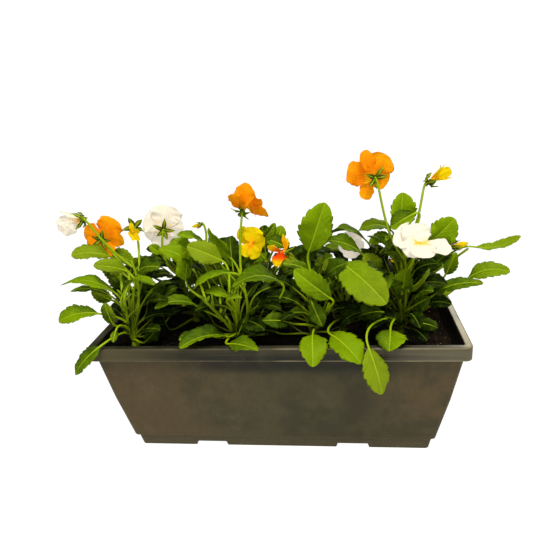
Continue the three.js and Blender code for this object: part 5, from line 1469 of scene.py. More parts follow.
@dataclass
class Bloom:
    """An open bloom: five ruffled petals, an eye with its stigma, and a calyx."""

    name: str
    centre: Array
    facing: Array
    size: float
    lean: float
    colour: str
    low: Array
    high: Array
    petal_foot: float = 1.4     # how far in front of the centre the first petal's foot stands
    petal_root: float = 1.5     # how far a petal's foot runs back into the eye
    petal_fold: float = 0.08
    sepals: int = 5
    seed: int = 17
    start: float = 0.3          # turn of the first sepal from the top, in radians
    stray: float = 0.35         # how far the sepals' turns and leans stray in all
    sepal_length: tuple[float, float] = (11.5, 3.5)     # least, and how much more at most
    sepal_width: float = 5.0
    wide_sepal: float = 6.2     # a half-open bloom's
    sepal_arch: float = 1.4
    sepal_fold: float = 0.25
    sepal_foot: tuple[float, float] = (1.8, 0.8)        # behind the centre, and out from the axis
    sepal_set: float = 2.0      # how far back the sepals are set
    lobe_foot: tuple[float, float] = (0.8, 1.2)
    lobe_tip: tuple[float, float] = (4.6, 3.8)
    lobe_width: float = 3.4
    lobe_arch: float = 0.4

    def __post_init__(self) -> None:
        """Works out the bloom's axes."""
        self.forward = direction(self.facing)
        hint = np.array([0.0, 1.0, 0.0]) if abs(self.forward[2]) > 0.9 else UP
        self.up = across(hint, self.forward)
        self.side = np.cross(self.forward, self.up)

    @property
    def half_open(self) -> bool:
        """Whether the bloom is still opening."""
        return self.name.startswith("bud")

    @property
    def letters(self) -> int:
        """A number made from the bloom's name, that its draws are seeded with."""
        return sum(map(ord, self.name))

    def spoke(self, turn: float, lean: float = 0.0) -> Array:
        """A ray from the bloom's axis, turned about it and leant towards the way it faces."""
        radial = self.up * math.cos(turn) + self.side * math.sin(turn)
        return radial * math.cos(lean) + self.forward * math.sin(lean)

    def petal_blade(self, number: int, petal: Petal) -> Blade:
        """Where a petal lies: as it is laid in the bloom's table, or else by rule.

        Args:
            number: The petal's place in the order of PETALS.
            petal: Its turn and its shape.

        Returns:
            The petal's blade.
        """
        foot = self.centre + self.forward * (self.petal_foot + petal.layer)
        tip = foot + self.spoke(petal.turn, self.lean) * self.size * petal.length
        width, blunt = self.size * petal.width, 0.0
        if self.name in LAID_PETALS:
            laid, width, blunt = LAID_PETALS[self.name][number]
            tip = np.array(laid, float)
        return Blade(foot - direction(tip - foot) * self.petal_root, tip, self.forward, width,
                     self.size * petal.arch, self.petal_fold, blunt)

    def build(self, plant: PansyPlant, finishes: Finishes) -> None:
        """Makes the petals and the eye, and grows the stalk and the calyx on the plant."""
        rng = np.random.default_rng(self.letters)
        skin = Skin()
        form = HALF_OPEN_FORM if self.half_open else PETAL_FORM
        for number, petal in enumerate(PETALS):
            draw = rng.random(4)
            lay_blade(skin, self.petal_blade(number, petal), form, draw,
                      (number / (len(PETALS) - 1), draw[0], draw[1]))
        self.dress("petals", skin, finishes.petals[self.colour])
        self.add_eye(finishes)
        self.add_calyx(plant)
        plant.add_stalk(self.low, self.high, self.centre - self.forward * STALK_DEPTH)

    def dress(self, kind: str, skin: Skin, finish: bpy.types.Material) -> None:
        """Makes one of the bloom's pieces.

        Args:
            kind: What the piece is, which its name begins with.
            skin: Its mesh under construction.
            finish: What it is dressed in.
        """
        name = f"{kind}_{plain(self.name)}"
        add_piece(name, skin.mesh(name), finish, f"petal_{self.colour}", self.name)

    def add_eye(self, finishes: Finishes) -> None:
        """The heart of the bloom: a plug that the petals stand in, and the stigma."""
        skin = Skin()
        steps, radii = np.array(EYE_PLUG).T
        ways = np.tile(self.forward, (len(steps), 1))
        tube(skin, self.centre + self.forward * steps[:, None], ways, radii, self.up, 12,
             tone=(0.2, 0, 0))
        along, above, radius, rings = STIGMA
        ball = np.linspace(0.05, math.pi - 0.05, rings)
        steps = along - np.cos(ball) * radius
        spine = self.centre + self.forward * steps[:, None] + self.up * above
        tube(skin, spine, np.tile(self.forward, (rings, 1)), radius * np.sin(ball), self.up, 10,
             tone=(0.9, 0, 0))
        self.dress("eye", skin, finishes.eye)

    def add_hub(self, plant: PansyPlant, hub: Sequence[tuple[float, float]], scale: float) -> None:
        """Adds the round body that the sepals stand on to the plant's calyces.

        Args:
            plant: The plant.
            hub: Distance behind the centre and radius of each ring.
            scale: What both are multiplied by.
        """
        steps, radii = np.array(hub).T
        spine = self.centre - self.forward * steps[:, None] * scale
        tube(plant.calyces, spine, np.tile(-self.forward, (len(steps), 1)), scale * radii, self.up,
             10)

    def add_calyx(self, plant: PansyPlant) -> None:
        """Five pointed sepals that spread behind the petals, each with a lobe that points back."""
        rng = np.random.default_rng(self.seed + self.letters)
        back = -self.forward
        self.add_hub(plant, CALYX_HUB, 1.0)
        lean = SEPAL_LEANS.get(self.name, SEPAL_LEAN)
        width = self.wide_sepal if self.half_open else self.sepal_width
        for k in range(self.sepals):
            draw = rng.random(5)
            tilt = lean + self.stray * (draw[4] - 0.5)
            place = k + self.stray * (draw[0] - 0.5)
            ray = self.spoke(self.start + place * 2 * math.pi / self.sepals)
            foot = self.centre + back * self.sepal_foot[0] + ray * self.sepal_foot[1]
            reach = self.sepal_length[0] + self.sepal_length[1] * draw[1]
            ahead = reach * math.sin(tilt) - self.sepal_set
            tip = self.centre + ray * reach * math.cos(tilt) - back * ahead
            face = back * math.cos(tilt) + ray * math.sin(tilt)
            self.sepal(plant, foot, tip, face, width, self.sepal_arch, draw)
            foot = self.centre + back * self.lobe_foot[0] + ray * self.lobe_foot[1]
            lobe = self.centre + ray * self.lobe_tip[1] + back * (self.lobe_tip[0] + draw[3])
            self.sepal(plant, foot, lobe, ray, self.lobe_width, self.lobe_arch, draw)

    def sepal(self, plant: PansyPlant, foot: Array, tip: Array, face: Array, width: float,
              arch: float, draw: Array) -> None:
        """Adds one sepal or lobe to the plant's calyces.

        Args:
            plant: The plant.
            foot: Where the sepal starts.
            tip: Where it ends.
            face: The way that its outer side faces.
            width: Its greatest width.
            arch: How high its centre line bulges.
            draw: Draws from 0 to 1 for its outline and its tones.
        """
        blade = Blade(foot, tip, face, width, arch, self.sepal_fold)
        lay_blade(plant.calyces, blade, SEPAL_FORM, draw, (0.6, draw[0], draw[1]))


@dataclass
class Bud(Bloom):
    """A bud whose petals are still furled, hugged by its sepals.

    The sizes of its calyx suit a bud of the common length, and follow its own length.
    """

    common: float = 16.0
    rings: int = 24
    points: int = 36
    laps: int = 3
    spiral: float = 0.8         # how far the laps wind about the bud, as a share of a lap
    swell: float = 1.1
    sunk: float = 0.28          # how far a lap's covered edge is sunk, as a share of the radius
    seed: int = 29
    start: float = 0.15
    sepal_out: tuple[float, float] = (4.6, 2.2)         # least, and how much more at most
    sepal_ahead: tuple[float, float] = (8.0, 2.0)
    sepal_width: float = 3.6
    sepal_arch: float = 0.8
    sepal_foot: tuple[float, float] = (1.0, 1.2)
    lobe_foot: tuple[float, float] = (0.0, 1.4)
    lobe_tip: tuple[float, float] = (3.4, 3.0)
    lobe_width: float = 2.6
    lobe_arch: float = 0.3

    def build(self, plant: PansyPlant, finishes: Finishes) -> None:
        """Makes the furled petals as a spindle with three lapped edges, then the calyx."""
        skin = Skin()
        share = np.linspace(BUD_SHARES[0], 1, self.rings)
        radius = self.size * np.interp(share, BUD_SHARES, BUD_RADII)
        angles = np.arange(self.points) * 2 * math.pi / self.points
        lap = (angles[None] / (2 * math.pi) * self.laps + share[:, None] * self.spiral) % 1
        spokes = self.up * np.cos(angles)[:, None] + self.side * np.sin(angles)[:, None]
        out = radius[:, None] * (self.swell - self.sunk * lap)
        centres = self.centre + self.forward * (self.size * share)[:, None, None]
        rings = centres + spokes[None] * out[..., None]
        rings[0] = rings[0].mean(axis=0)
        rings[-1] = rings[-1].mean(axis=0)
        seen = np.stack([lap * 2 - 1, np.broadcast_to(share[:, None], lap.shape),
                         np.ones_like(lap)], axis=-1)
        size = np.full(rings.shape, self.size / self.laps)
        skin.loft(rings, seen=seen, size=size, tone=np.full(rings.shape, 0.5))
        self.dress("furled_petals", skin, finishes.petals[self.colour])
        self.add_calyx(plant)
        plant.add_stalk(self.low, self.high, self.centre - self.forward * STALK_DEPTH)

    def add_calyx(self, plant: PansyPlant) -> None:
        """Five sepals that reach forward along the bud, each with a lobe that points back."""
        rng = np.random.default_rng(self.seed + self.letters)
        scale = self.size / self.common
        back = -self.forward
        self.add_hub(plant, BUD_HUB, scale)
        for k in range(self.sepals):
            draw = rng.random(4)
            ray = self.spoke(self.start + k * 2 * math.pi / self.sepals)
            foot = self.centre + back * self.sepal_foot[0] * scale + ray * self.sepal_foot[1] * scale
            reach = (ray * (self.sepal_out[0] + self.sepal_out[1] * draw[1])
                     + self.forward * (self.sepal_ahead[0] + self.sepal_ahead[1] * draw[2]))
            self.sepal(plant, foot, self.centre + scale * reach, ray, self.sepal_width * scale,
                       self.sepal_arch * scale, draw)
            foot = self.centre + back * self.lobe_foot[0] * scale + ray * self.lobe_foot[1] * scale
            reach = ray * self.lobe_tip[1] + back * (self.lobe_tip[0] + draw[3])
            self.sepal(plant, foot, self.centre + scale * reach, ray, self.lobe_width * scale,
                       self.lobe_arch, draw)


# ---------- finishes ----------


@dataclass(frozen=True)
class BoxPlastic:
    """Moulded charcoal plastic with a brown tinge: satin, a little dusty, scratched and scuffed.

    The rim is darker than the wall and glossier. The pale lines along its edges are painted
    highlights broken by wear, and the inner faces of the walls are painted nearly black as shade.
    """

    dark: Triple = (0.020, 0.019, 0.010)
    olive: Triple = (0.043, 0.040, 0.018)
    reflected_brown: Triple = (0.066, 0.045, 0.021)
    rim: Triple = (0.003, 0.004, 0.0025)
    rim_warm_sheen: Triple = (0.054, 0.046, 0.022)
    rim_grey_reflection: Triple = (0.082, 0.075, 0.056)
    foot_painted_lit: Triple = (0.056, 0.047, 0.026)
    painted_shade_inside: Triple = (0.004, 0.0035, 0.003)
    wear_and_highlight: Triple = (0.20, 0.175, 0.12)
    dust: Triple = (0.30, 0.27, 0.19)
    skirt: float = 0.123
    top: float = 0.138
    slopes: tuple[float, float] = (0.2103, 0.1542)      # how fast the walls lean outwards
    feet: tuple[float, float] = (0.1699, 0.0609)        # half sizes between the wall's two faces
    foot: float = 0.016

    def inside(self, tree: Tree, x: Wire, y: Wire, z: Wire) -> Wire:
        """1 on the inner faces of the walls.

        Args:
            tree: The finish under construction.
            x: The first coordinate.
            y: The second.
            z: The third.

        Returns:
            1 where |x| - slope·(z - foot) is less than the half size midway between the wall's two
            faces, likewise with y, between the foot and just below the top; elsewhere 0.
        """
        made = tree.step(z, self.foot, self.foot + 0.002)
        for where, slope, middle in zip((x, y), self.slopes, self.feet):
            off = abs(where) - (z - self.foot) * slope
            made = made * tree.step(off, middle + 0.0003, middle - 0.0003)
        return made * tree.step(z, self.top - 0.0006, self.top - 0.0026)

    def band(self, tree: Tree, value: Wire, middle: float, reach: float) -> Wire:
        """1 where the value is at the middle, falling to 0 at the reach on either side."""
        return tree.step(abs(value - middle), reach, reach * 0.35)

    def walls(self, tree: Tree, x: Wire, z: Wire, broad: Wire, cloud: Wire) -> Wire:
        """The colour of the walls: browner at the left and the right end, a painted reflection of
        the surroundings, with a painted shadow under the rim and the foot painted lighter, as if
        lit.

        Args:
            tree: The finish under construction.
            x: The first coordinate.
            z: The third.
            broad: Noise with wide patches.
            cloud: Noise with middling ones.

        Returns:
            The colour.
        """
        # painted reflection: the wall is painted browner towards both ends, where it mirrors the
        # surroundings
        wall = tree.mix(tree.step(x + (broad - 0.5) * 0.25, 0.02, -0.17), self.olive, self.reflected_brown)
        wall = tree.mix(tree.step(x + (broad - 0.5) * 0.12, 0.08, 0.16) * 0.9, wall, self.reflected_brown)
        wall = tree.mix(tree.step(cloud + (broad - 0.5) * 0.6, 0.46, 0.72) * 0.7, wall, self.dark)
        fine = tree.noise(240.0, 5.0, tree.stretched((1.0, 1.0, 0.45)))
        wall = tree.mix(tree.step(fine, 0.38, 0.72) * 0.3, wall, self.dark)
        # painted shadow: a dark band under the rim's skirt, across the middle of the wall, in the
        # rim's near-black
        rim_shadow = (tree.step(z + (broad - 0.5) * 0.03, 0.097, 0.112)
                 * tree.step(abs(x - 0.02) + (broad - 0.5) * 0.1, 0.15, 0.06))
        wall = tree.mix(rim_shadow * 0.9, wall, self.rim)
        # painted light: the foot is painted lighter to offset the shade under the wall's step
        return tree.mix(tree.step(z, 0.018, 0.015) * 0.8, wall, self.foot_painted_lit)

    def rims(self, tree: Tree, x: Wire, z: Wire) -> Wire:
        """The colour of the rim: near black, with painted shade and reflection of the plants in the
        middle, painted reflections that lighten it towards the ends (warmer to the left, greyer to
        the right), painted highlights along its top edge, its top face painted darker as shade and a
        painted highlight at its right end.

        Args:
            tree: The finish under construction.
            x: The first coordinate.
            z: The third.

        Returns:
            The colour.
        """
        run = tree.noise(60.0, 4.0, tree.stretched((0.10, 0.10, 5.0)))
        # painted reflection and shade: near black in the middle under the plants, lighter towards
        # each end
        rim = tree.mix(tree.step(x + (run - 0.5) * 0.2, -0.06, -0.19), self.rim, self.rim_warm_sheen)
        rim = tree.mix(tree.step(x + (run - 0.5) * 0.24, 0.06, 0.19), rim, self.rim_grey_reflection)
        # painted highlight: streaks along the rim and a band near its top edge
        upper = tree.step(z + (run - 0.5) * 0.004, self.top - 0.007, self.top - 0.001)
        warm = tree.math("MINIMUM", tree.step(run, 0.5, 0.72) * 0.25 + upper * 0.35, 1.0)
        rim = tree.mix(warm, rim, self.rim_warm_sheen)
        # painted shade: the rim's top face is painted darker
        flat = tree.step(z, self.top - 0.0012, self.top - 0.0002)
        rim = tree.mix(flat * 0.96, rim, self.rim)
        # painted highlight on the top face at the right end
        return tree.mix(flat * tree.step(x, 0.186, 0.196) * 0.9, rim, self.wear_and_highlight)

    def dusty(self, tree: Tree, z: Wire) -> Wire:
        """How dusty each place is: in specks and patches, and most at the foot."""
        specks = tree.step(tree.noise(1000.0, 1.0), 0.69, 0.75)
        patch = tree.step(tree.noise(30.0, 4.0), 0.5, 0.75)
        low = tree.step(z, 0.030, 0.004)
        return tree.math("MINIMUM", specks * (patch * 0.6 + low * 0.7) + patch * 0.05, 1.0)

    def material(self) -> bpy.types.Material:
        """Builds the finish."""
        tree = Tree("box_plastic")
        x, y, z = tree.split(tree.place())
        broad = tree.noise(8.0, 3.0)
        cloud = tree.noise(21.0, 5.0)
        colour = tree.mix(tree.step(z, self.skirt - 0.0006, self.skirt - 0.0002),
                          self.walls(tree, x, z, broad, cloud), self.rims(tree, x, z))
        # painted highlights: pale lines along the skirt's lower edge and the rim's top edge, broken
        # into patches of wear
        edges = tree.math("MAXIMUM", self.band(tree, z, self.skirt + 0.0004, 0.0011),
                          self.band(tree, z, self.top - 0.0008, 0.0011) * 0.55)
        patches = tree.step(tree.noise(16.0, 3.0, tree.stretched((1.0, 1.0, 0.2))), 0.40, 0.66)
        colour = tree.mix(edges * (patches * 0.75 + 0.2), colour, self.wear_and_highlight)
        dusty = self.dusty(tree, z)
        colour = tree.mix(dusty, colour, self.dust)
        scratch = tree.noise(300.0, 2.0, tree.stretched((0.06, 1.0, 1.0)))
        colour = tree.mix(tree.step(scratch, 0.72, 0.77) * patches * 0.25, colour, self.wear_and_highlight)
        # painted shade: the inner faces of the walls are painted nearly black
        colour = tree.mix(self.inside(tree, x, y, z), colour, self.painted_shade_inside)
        folded = tree.step(z, self.skirt - 0.001, self.skirt)
        rough = 0.44 + broad * 0.14 + dusty * 0.3 - folded * 0.13
        grain = tree.noise(1500.0, 2.0)
        bump = tree.bump(grain * 0.3 + scratch * 0.35 + cloud * 0.5, 0.00014)
        return tree.finish(Base_Color=colour, Roughness=rough, Normal=bump, Specular_IOR_Level=0.3)


@dataclass(frozen=True)
class Peat:
    """Damp potting mix and the crumbs on it, painted nearly black as shade, and painted lighter
    where light reaches the right end.
    """

    # dark: the mix painted nearly black as shade
    dark: Triple = (0.0035, 0.0025, 0.0018)
    brown: Triple = (0.022, 0.013, 0.0075)
    light: Triple = (0.090, 0.052, 0.028)
    pale: Triple = (0.36, 0.29, 0.19)

    def lit_end(self, tree: Tree) -> Wire:
        """How far the top is painted lit: most at the open right end, where light reaches the mix,
        in ragged patches, and a tenth of the way everywhere.
        """
        x, _, _ = tree.split(tree.place())
        return tree.step(x + tree.noise(14.0, 2.0) * 0.16, 0.13, 0.26) * 0.9 + 0.1

    def material(self) -> bpy.types.Material:
        """Builds the finish of the body of the mix."""
        tree = Tree("potting_mix")
        lumps = tree.noise(420.0, 5.0)
        lit_end = self.lit_end(tree)
        colour = tree.mix(tree.step(lumps, 0.42, 0.72) * lit_end, self.dark, self.brown)
        flecks = tree.step(tree.noise(1300.0, 1.0), 0.74, 0.8) * lit_end
        colour = tree.mix(flecks * 0.5, colour, self.pale)
        bump = tree.bump(tree.noise(800.0, 6.0), 0.0014)
        return tree.finish(Base_Color=colour, Roughness=0.8 + lumps * 0.2, Normal=bump,
                           Specular_IOR_Level=0.05)

    def grains(self) -> bpy.types.Material:
        """Builds the finish of the crumbs, which carry how pale they are and a draw."""
        tree = Tree("potting_mix_crumbs")
        pale, draw, _ = tree.carried("tone")
        lit_end = self.lit_end(tree)
        colour = tree.mix(draw * draw * lit_end, self.dark, self.light)
        colour = tree.mix(pale * lit_end, colour, self.pale)
        bump = tree.bump(tree.noise(1800.0, 4.0), 0.0004)
        return tree.finish(Base_Color=colour, Roughness=0.85 + draw * 0.1, Normal=bump,
                           Specular_IOR_Level=0.05)


@dataclass(frozen=True)
class LeafGreen:
    """Leaves: yellow-green and satin above, with a pale midrib and faint veins, duller below;
    painted darker as shade low, inside and behind the plants, and lighter on one half and towards
    the tip where light falls.
    """

    # deep, middle and bright: the one green painted in shade, in half light and in full light
    deep: Triple = (0.0035, 0.009, 0.0005)
    middle: Triple = (0.046, 0.092, 0.001)
    bright: Triple = (0.144, 0.242, 0.0005)
    olive: Triple = (0.170, 0.225, 0.010)
    vein: Triple = (0.290, 0.390, 0.024)
    under: Triple = (0.100, 0.145, 0.012)

    def side_veins(self, tree: Tree, s: Wire, t: Wire, half: Wire, length: Wire) -> Wire:
        """1 on the side veins, which leave the midrib at a slant and bend towards the tip."""
        reach = abs(s) * half
        spacing = length * (1 / LEAF_FORM.veins)
        cells = (t * length - reach * LEAF_FORM.slant) / spacing
        off = (0.5 - abs(tree.math("FRACT", cells) - 0.5)) * spacing
        return tree.step(off, 0.9, 0.15) * tree.step(abs(s), 0.95, 0.4)

    def material(self) -> bpy.types.Material:
        """Builds the finish."""
        tree = Tree("leaf_green")
        s, t, side = tree.carried("seen")
        half, length, _ = tree.carried("size")
        height, hue, age = tree.carried("tone")
        mottle = tree.noise(110.0, 4.0)
        streak = tree.noise(420.0, 3.0, tree.stretched((1.0, 1.0, 0.35)))
        # painted light: height carries the painted daylight of the leaf's place; one half of each
        # leaf and its tip end are painted lighter, as light falls across its fold
        level = height * (hue * 0.75 + 0.5) + (mottle - 0.5) * 0.8 + (streak - 0.5) * 0.2
        level = level + (s * (age - 0.5) * 0.8 + (t - 0.5) * 0.3) * height
        colour = tree.mix(tree.step(level, 0.0, 0.55), self.deep, self.middle)
        colour = tree.mix(tree.step(level, 0.38, 1.2), colour, self.bright)
        aged = tree.step(age + t * 0.25, 0.62, 1.1) * tree.step(level, 0.4, 0.8)
        colour = tree.mix(aged * 0.6, colour, self.olive)
        # painted sheen: pale patches on the leaves that are painted lit
        sheen_patch = tree.step(tree.noise(75.0, 6.0), 0.60, 0.68) * tree.step(streak, 0.5, 0.62)
        colour = tree.mix(sheen_patch * tree.step(level, 0.4, 0.9) * 0.35, colour, self.vein)
        mid = tree.step(abs(s) * half + t * 0.35, 1.15, 0.4)
        sides = self.side_veins(tree, s, t, half, length)
        net = tree.noise(700.0, 3.0)
        # the veins show more where the leaf is painted lit
        shown = tree.step(level, 0.1, 0.6)
        pale = tree.mix(shown * 0.35, colour, self.vein)
        colour = tree.mix(sides * 0.55, colour, pale)
        colour = tree.mix(mid * (shown * 0.6 + 0.3), colour, tree.mix(0.6, colour, self.vein))
        margin = tree.step(abs(s), 0.93, 1.0)
        colour = tree.mix(margin * 0.5, colour, pale)
        below = tree.step(side, 0.2, -0.2)
        duller = tree.mix(sides * 0.4 + mid * 0.5, tree.mix(0.5, colour, self.under), pale)
        colour = tree.mix(below, colour, duller)
        bump = tree.bump(sides * -0.35 + net * 0.25 + streak * 0.5 + mottle * 1.2, 0.0006)
        rough = 0.46 + net * 0.12 + below * 0.15
        return tree.finish(Base_Color=colour, Roughness=rough, Normal=bump, Specular_IOR_Level=0.04,
                           Subsurface_Weight=0.15, Subsurface_Scale=0.002,
                           Subsurface_Radius=(0.7, 1.0, 0.1))


@dataclass(frozen=True)
class StemGreen:
    """Stems, petioles and stalks: yellow-green, painted darker as shade low down, behind and near
    the crown, and brighter higher up and in front.
    """

    low: Triple = (0.022, 0.042, 0.001)
    high: Triple = (0.250, 0.370, 0.002)

    def material(self) -> bpy.types.Material:
        """Builds the finish."""
        tree = Tree("stem_green")
        light, _, _ = tree.carried("tone")
        streaks = tree.noise(900.0, 2.0, tree.stretched((1.0, 1.0, 0.12)))
        _, y, z = tree.split(tree.place())
        # painted light: brighter higher up and further in front, and by the painted daylight that
        # the mesh carries
        open_to = tree.math("MAXIMUM", z * 7.0 - 0.8, y * -18.0 - 0.35)
        level = tree.step(open_to + light * 0.5 + (streaks - 0.5) * 0.4, -0.1, 0.8)
        colour = tree.mix(level * tree.step(light, 0.0, 0.7), self.low, self.high)
        bump = tree.bump(streaks, 0.0002)
        return tree.finish(Base_Color=colour, Roughness=0.42 + streaks * 0.15, Normal=bump,
                           Specular_IOR_Level=0.15, Subsurface_Weight=0.1, Subsurface_Scale=0.001)


@dataclass(frozen=True)
class SepalGreen:
    """Sepals: deep green with lighter margins and tips."""

    deep: Triple = (0.016, 0.042, 0.001)
    light: Triple = (0.260, 0.340, 0.004)

    def material(self) -> bpy.types.Material:
        """Builds the finish."""
        tree = Tree("sepal_green")
        s, t, _ = tree.carried("seen")
        _, hue, _ = tree.carried("tone")
        lines = tree.noise(700.0, 2.0)
        middle = tree.step(abs(s), 0.55, 0.1)
        level = tree.step(middle * 0.5 + t * 0.35 + (lines - 0.5) * 0.6 + hue * 0.25, 0.15, 0.85)
        colour = tree.mix(level, self.deep, self.light)
        bump = tree.bump(lines, 0.0003)
        return tree.finish(Base_Color=colour, Roughness=0.45 + lines * 0.1, Normal=bump,
                           Specular_IOR_Level=0.15)


class Blotch(Enum):
    """How far the mark round the eye reaches, as a share of a petal's length."""

    SMALL = 0.3
    LARGE = 0.8


@dataclass(frozen=True)
class PetalFinish:
    """Velvety petals: fine veins that fan from the foot, a lighter margin and a mark at the eye, and
    a painted glow in their own colour.
    """

    name: str
    body: Triple
    margin: Triple
    vein: Triple
    eye: Triple
    blotch: Blotch
    # glow is painted light: the petal emits its own colour in place of the daylight that comes
    # through it
    glow: float = 0.5       # daylight that comes through the petal from the far side

    def material(self) -> bpy.types.Material:
        """Builds the finish."""
        tree = Tree(self.name)
        s, t, _ = tree.carried("seen")
        order, hue, _ = tree.carried("tone")
        cloud = tree.noise(90.0, 3.0)
        colour = tree.mix(tree.step(t + (cloud - 0.5) * 0.7 + hue * 0.3, 0.35, 1.2), self.body,
                          self.margin)
        fan = tree.math("SINE", s * 26.0 + (cloud - 0.5) * 5.0)
        lines = tree.step(fan, 0.72, 1.0) * tree.step(t, 1.0, 0.5)
        colour = tree.mix(lines * 0.35, colour, self.vein)
        reach = self.blotch.value
        rays = (fan + 1) * 0.06
        lower = tree.step(order, 0.2, 0.6) * 0.7 + 0.3
        mark = tree.step(t - rays - (cloud - 0.5) * 0.25, reach, reach * 0.45) * lower
        colour = tree.mix(mark, colour, self.eye)
        pile = tree.noise(1500.0, 2.0)
        bump = tree.bump(fan * 0.3 + pile * 0.1, 0.0002)
        # painted glow: the petal emits its own colour
        return tree.finish(Base_Color=colour, Roughness=0.55 + pile * 0.2, Normal=bump,
                           Specular_IOR_Level=0.06, Emission_Color=colour,
                           Emission_Strength=self.glow)


# The petals' finishes by colour: body, margin, vein, the mark at the eye and its kind, and for white
# a stronger painted glow.
PETAL_FINISHES = {
    "orange": PetalFinish("petal_orange", (0.53, 0.132, 0.0003), (0.56, 0.210, 0.0005),
                          (0.52, 0.095, 0.0003), (0.62, 0.31, 0.004), Blotch.SMALL),
    "yellow": PetalFinish("petal_yellow", (0.46, 0.32, 0.0004), (0.50, 0.38, 0.001),
                          (0.50, 0.28, 0.0005), (0.60, 0.20, 0.001), Blotch.SMALL),
    "gold": PetalFinish("petal_gold", (0.56, 0.29, 0.0005), (0.57, 0.40, 0.001),
                        (0.55, 0.17, 0.001), (0.50, 0.035, 0.001), Blotch.LARGE),
    "white": PetalFinish("petal_white", (0.44, 0.405, 0.347), (0.46, 0.43, 0.375),
                         (0.405, 0.374, 0.31), (0.50, 0.29, 0.006), Blotch.SMALL, 0.92),
}


def eye_material() -> bpy.types.Material:
    """The eye: orange throat, and a pale green stigma where the mesh carries more."""
    tree = Tree("bloom_eye")
    which, _, along = tree.carried("tone")
    grain = tree.noise(1500.0, 2.0)
    colour = tree.mix(tree.step(grain, 0.3, 0.8), (0.80, 0.32, 0.004), (0.85, 0.46, 0.008))
    colour = tree.mix(tree.step(along, 0.45, 0.2), colour, (0.40, 0.45, 0.05))
    colour = tree.mix(tree.step(which, 0.4, 0.6), colour, (0.42, 0.52, 0.06))
    return tree.finish(Base_Color=colour, Roughness=0.5 + grain * 0.2, Specular_IOR_Level=0.15,
                       Normal=tree.bump(grain, 0.0003))


# ---------- studio ----------


# Each lamp: name, place in metres, size in metres, power in watts, and colour.
LAMPS = (
    ("key", (0.25, -0.75, 1.6), 0.6, 33.0, (1.0, 0.94, 0.76)),
    ("front", (-0.2, -1.8, 0.9), 0.8, 9.5, (1.0, 0.94, 0.74)),
    ("back", (0.5, 1.7, 1.0), 0.8, 11.0, (1.0, 0.96, 0.82)),
)


@dataclass(frozen=True)
class Studio:
    """A pale floor, soft lights and the camera."""

    eye: Triple = (73.0, -597.5, 394.3)
    yaw: float = -7.12
    pitch: float = 19.07
    roll: float = -3.36
    lens: float = 36.58
    sensor: float = 36.0
    aim: Triple = (0.0, 0.0, 0.17)      # where the lamps look, in metres
    span: float = 60.0          # half width of the floor, in metres
    ground: Triple = (0.8, 0.8, 0.79)
    glow: float = 1.16          # how bright the camera sees the floor
    backdrop: float = 1.06      # how bright it sees the surroundings
    haze: float = 0.86          # how far the camera sees the floor as plain white
    ambient: float = 0.25
    sky: Triple = (1.0, 0.96, 0.78)

    def camera(self) -> None:
        """Places the camera from its heading, its dip and its roll, in degrees."""
        yaw, pitch, roll = (math.radians(angle) for angle in (self.yaw, self.pitch, self.roll))
        forward = np.array([math.sin(yaw) * math.cos(pitch), math.cos(yaw) * math.cos(pitch),
                            -math.sin(pitch)])
        right = np.array([math.cos(yaw), -math.sin(yaw), 0.0])
        up = np.cross(right, forward)
        turned_right = right * math.cos(roll) + up * math.sin(roll)
        turned_up = up * math.cos(roll) - right * math.sin(roll)
        data = bpy.data.cameras.new("camera")
        data.lens = self.lens
        data.sensor_width = self.sensor
        data.clip_start, data.clip_end = 0.01, 50.0
        camera = bpy.data.objects.new("camera", data)
        bpy.context.scene.collection.objects.link(camera)
        columns = np.stack([turned_right, turned_up, -forward], axis=1)
        camera.matrix_world = Matrix.Translation(Vector(self.eye) * MM) @ Matrix(columns).to_4x4()
        bpy.context.scene.camera = camera

    def floor(self) -> None:
        """A wide plain floor under the trough, nearly shadowless to the camera."""
        mesh = bpy.data.meshes.new("floor")
        corners = [(x * self.span, y * self.span, 0)
                   for x, y in ((-1, -1), (1, -1), (1, 1), (-1, 1))]
        mesh.from_pydata(corners, [], [(0, 1, 2, 3)])
        floor = bpy.data.objects.new("floor", mesh)
        bpy.context.scene.collection.objects.link(floor)
        tree = Tree("floor")
        matte = tree.node("ShaderNodeBsdfDiffuse", {"Color": self.ground})
        glow = tree.node("ShaderNodeEmission", {"Color": (1.0, 1.0, 1.0), "Strength": self.glow})
        seen = tree.node("ShaderNodeLightPath", {}, output="Is Camera Ray")
        surface = tree.node("ShaderNodeMixShader", {0: seen * self.haze, 1: matte, 2: glow})
        mesh.materials.append(tree.close(surface))

    def light(self, name: str, where: Triple, size: float, power: float, colour: Triple) -> None:
        """Adds a square area light that looks at the planting.

        Args:
            name: Its name.
            where: Its place, in metres.
            size: The length of its sides, in metres.
            power: Its power, in watts.
            colour: Its colour.
        """
        data = bpy.data.lights.new(name, "AREA")
        data.shape = "SQUARE"
        data.size = size
        data.energy = power
        data.color = colour
        light = bpy.data.objects.new(name, data)
        bpy.context.scene.collection.objects.link(light)
        light.location = where
        aim = Vector(self.aim) - light.location
        light.rotation_euler = aim.to_track_quat("-Z", "Y").to_euler()

    def world(self) -> None:
        """Surroundings that the camera sees as white, and that light the planting less."""
        world = bpy.data.worlds.new("studio")
        world.use_nodes = True
        nodes, links = world.node_tree.nodes, world.node_tree.links
        background = nodes["Background"]
        rays = nodes.new("ShaderNodeLightPath")
        tint = nodes.new("ShaderNodeMix")
        tint.data_type = "RGBA"
        tint.inputs[MIX_FIRST].default_value = (*(self.ambient * part for part in self.sky), 1.0)
        tint.inputs[MIX_SECOND].default_value = (*[self.backdrop] * 3, 1.0)
        links.new(rays.outputs["Is Camera Ray"], tint.inputs[0])
        links.new(tint.outputs[MIX_RESULT], background.inputs["Color"])
        background.inputs["Strength"].default_value = 1.0
        bpy.context.scene.world = world

    def build(self) -> None:
        """Sets the studio up."""
        self.camera()
        self.floor()
        self.world()
        for lamp in LAMPS:
            self.light(*lamp)
        bpy.context.scene.view_settings.view_transform = "Standard"


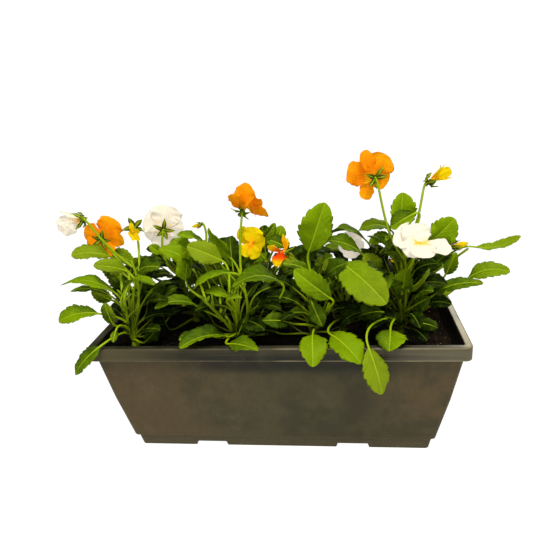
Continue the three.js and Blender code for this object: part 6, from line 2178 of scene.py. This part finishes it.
def dressings() -> Finishes:
    """Builds the finishes of the planting."""
    return Finishes(leaf=LeafGreen().material(), stem=StemGreen().material(),
                    sepal=SepalGreen().material(),
                    petals={colour: finish.material()
                            for colour, finish in PETAL_FINISHES.items()},
                    eye=eye_material())


def add_flowers(plants: Sequence[PansyPlant], finishes: Finishes) -> None:
    """Makes the blooms and the buds, which grow their stalks and calyces on the plants."""
    rows = [(Bloom, *row) for row in BLOOMS]
    rows += [(Bud, *row[:5], 0.0, *row[5:]) for row in BUDS]
    for kind, name, index, centre, facing, size, lean, colour, (low, high) in rows:
        centre, facing, low, high = (np.array(part, float) for part in (centre, facing, low, high))
        flower = kind(name, centre, facing, size, lean, colour, low, high)
        flower.build(plants[index], finishes)


def add_leaves(plants: Sequence[PansyPlant], inner: InnerLeaves) -> None:
    """Grows the leaves: the solids' named ones, their filling ones, and the inner ones.

    Args:
        plants: The plants.
        inner: The leaves that only the scene has.

    Raises:
        RuntimeError: A named leaf isn't in its plant's solid.
    """
    for plant, base, tip, width, face, arch, fold in LEAVES:
        base, tip, face = (np.array(part, float) for part in (base, tip, face))
        if not plants[plant].add_leaf(Blade(base, tip, face, width, arch, fold)):
            raise RuntimeError(f"the solid of plant {plant + 1} has no leaf at {tip}")
    grown = sum(plants[plant].add_leaf(blade) for plant, blade in filler_leaves())
    laid = inner.grow()
    for plant, blade in laid:
        share = inner.light_in_front if blade.base[1] < 0 else inner.light_behind
        plants[plant].lay_leaf(blade, INNER_FORM, share)
    LOG.info("%d named, %d filling and %d inner leaves", len(LEAVES), grown, len(laid))


def main() -> None:
    """Builds the pieces in order and reports each."""
    logging.basicConfig(level=logging.INFO, format="%(message)s")
    Studio().build()
    trough = Trough()
    trough.build(BoxPlastic().material())
    peat = Peat()
    PottingMix(trough).build(peat.material(), peat.grains())
    finishes = dressings()
    plants = [PansyPlant(number, crown, stems) for number, (crown, stems) in enumerate(PLANTS)]
    add_flowers(plants, finishes)
    add_leaves(plants, InnerLeaves(trough))
    for plant in plants:
        plant.build(finishes)


if __name__ == "__main__":
    main()
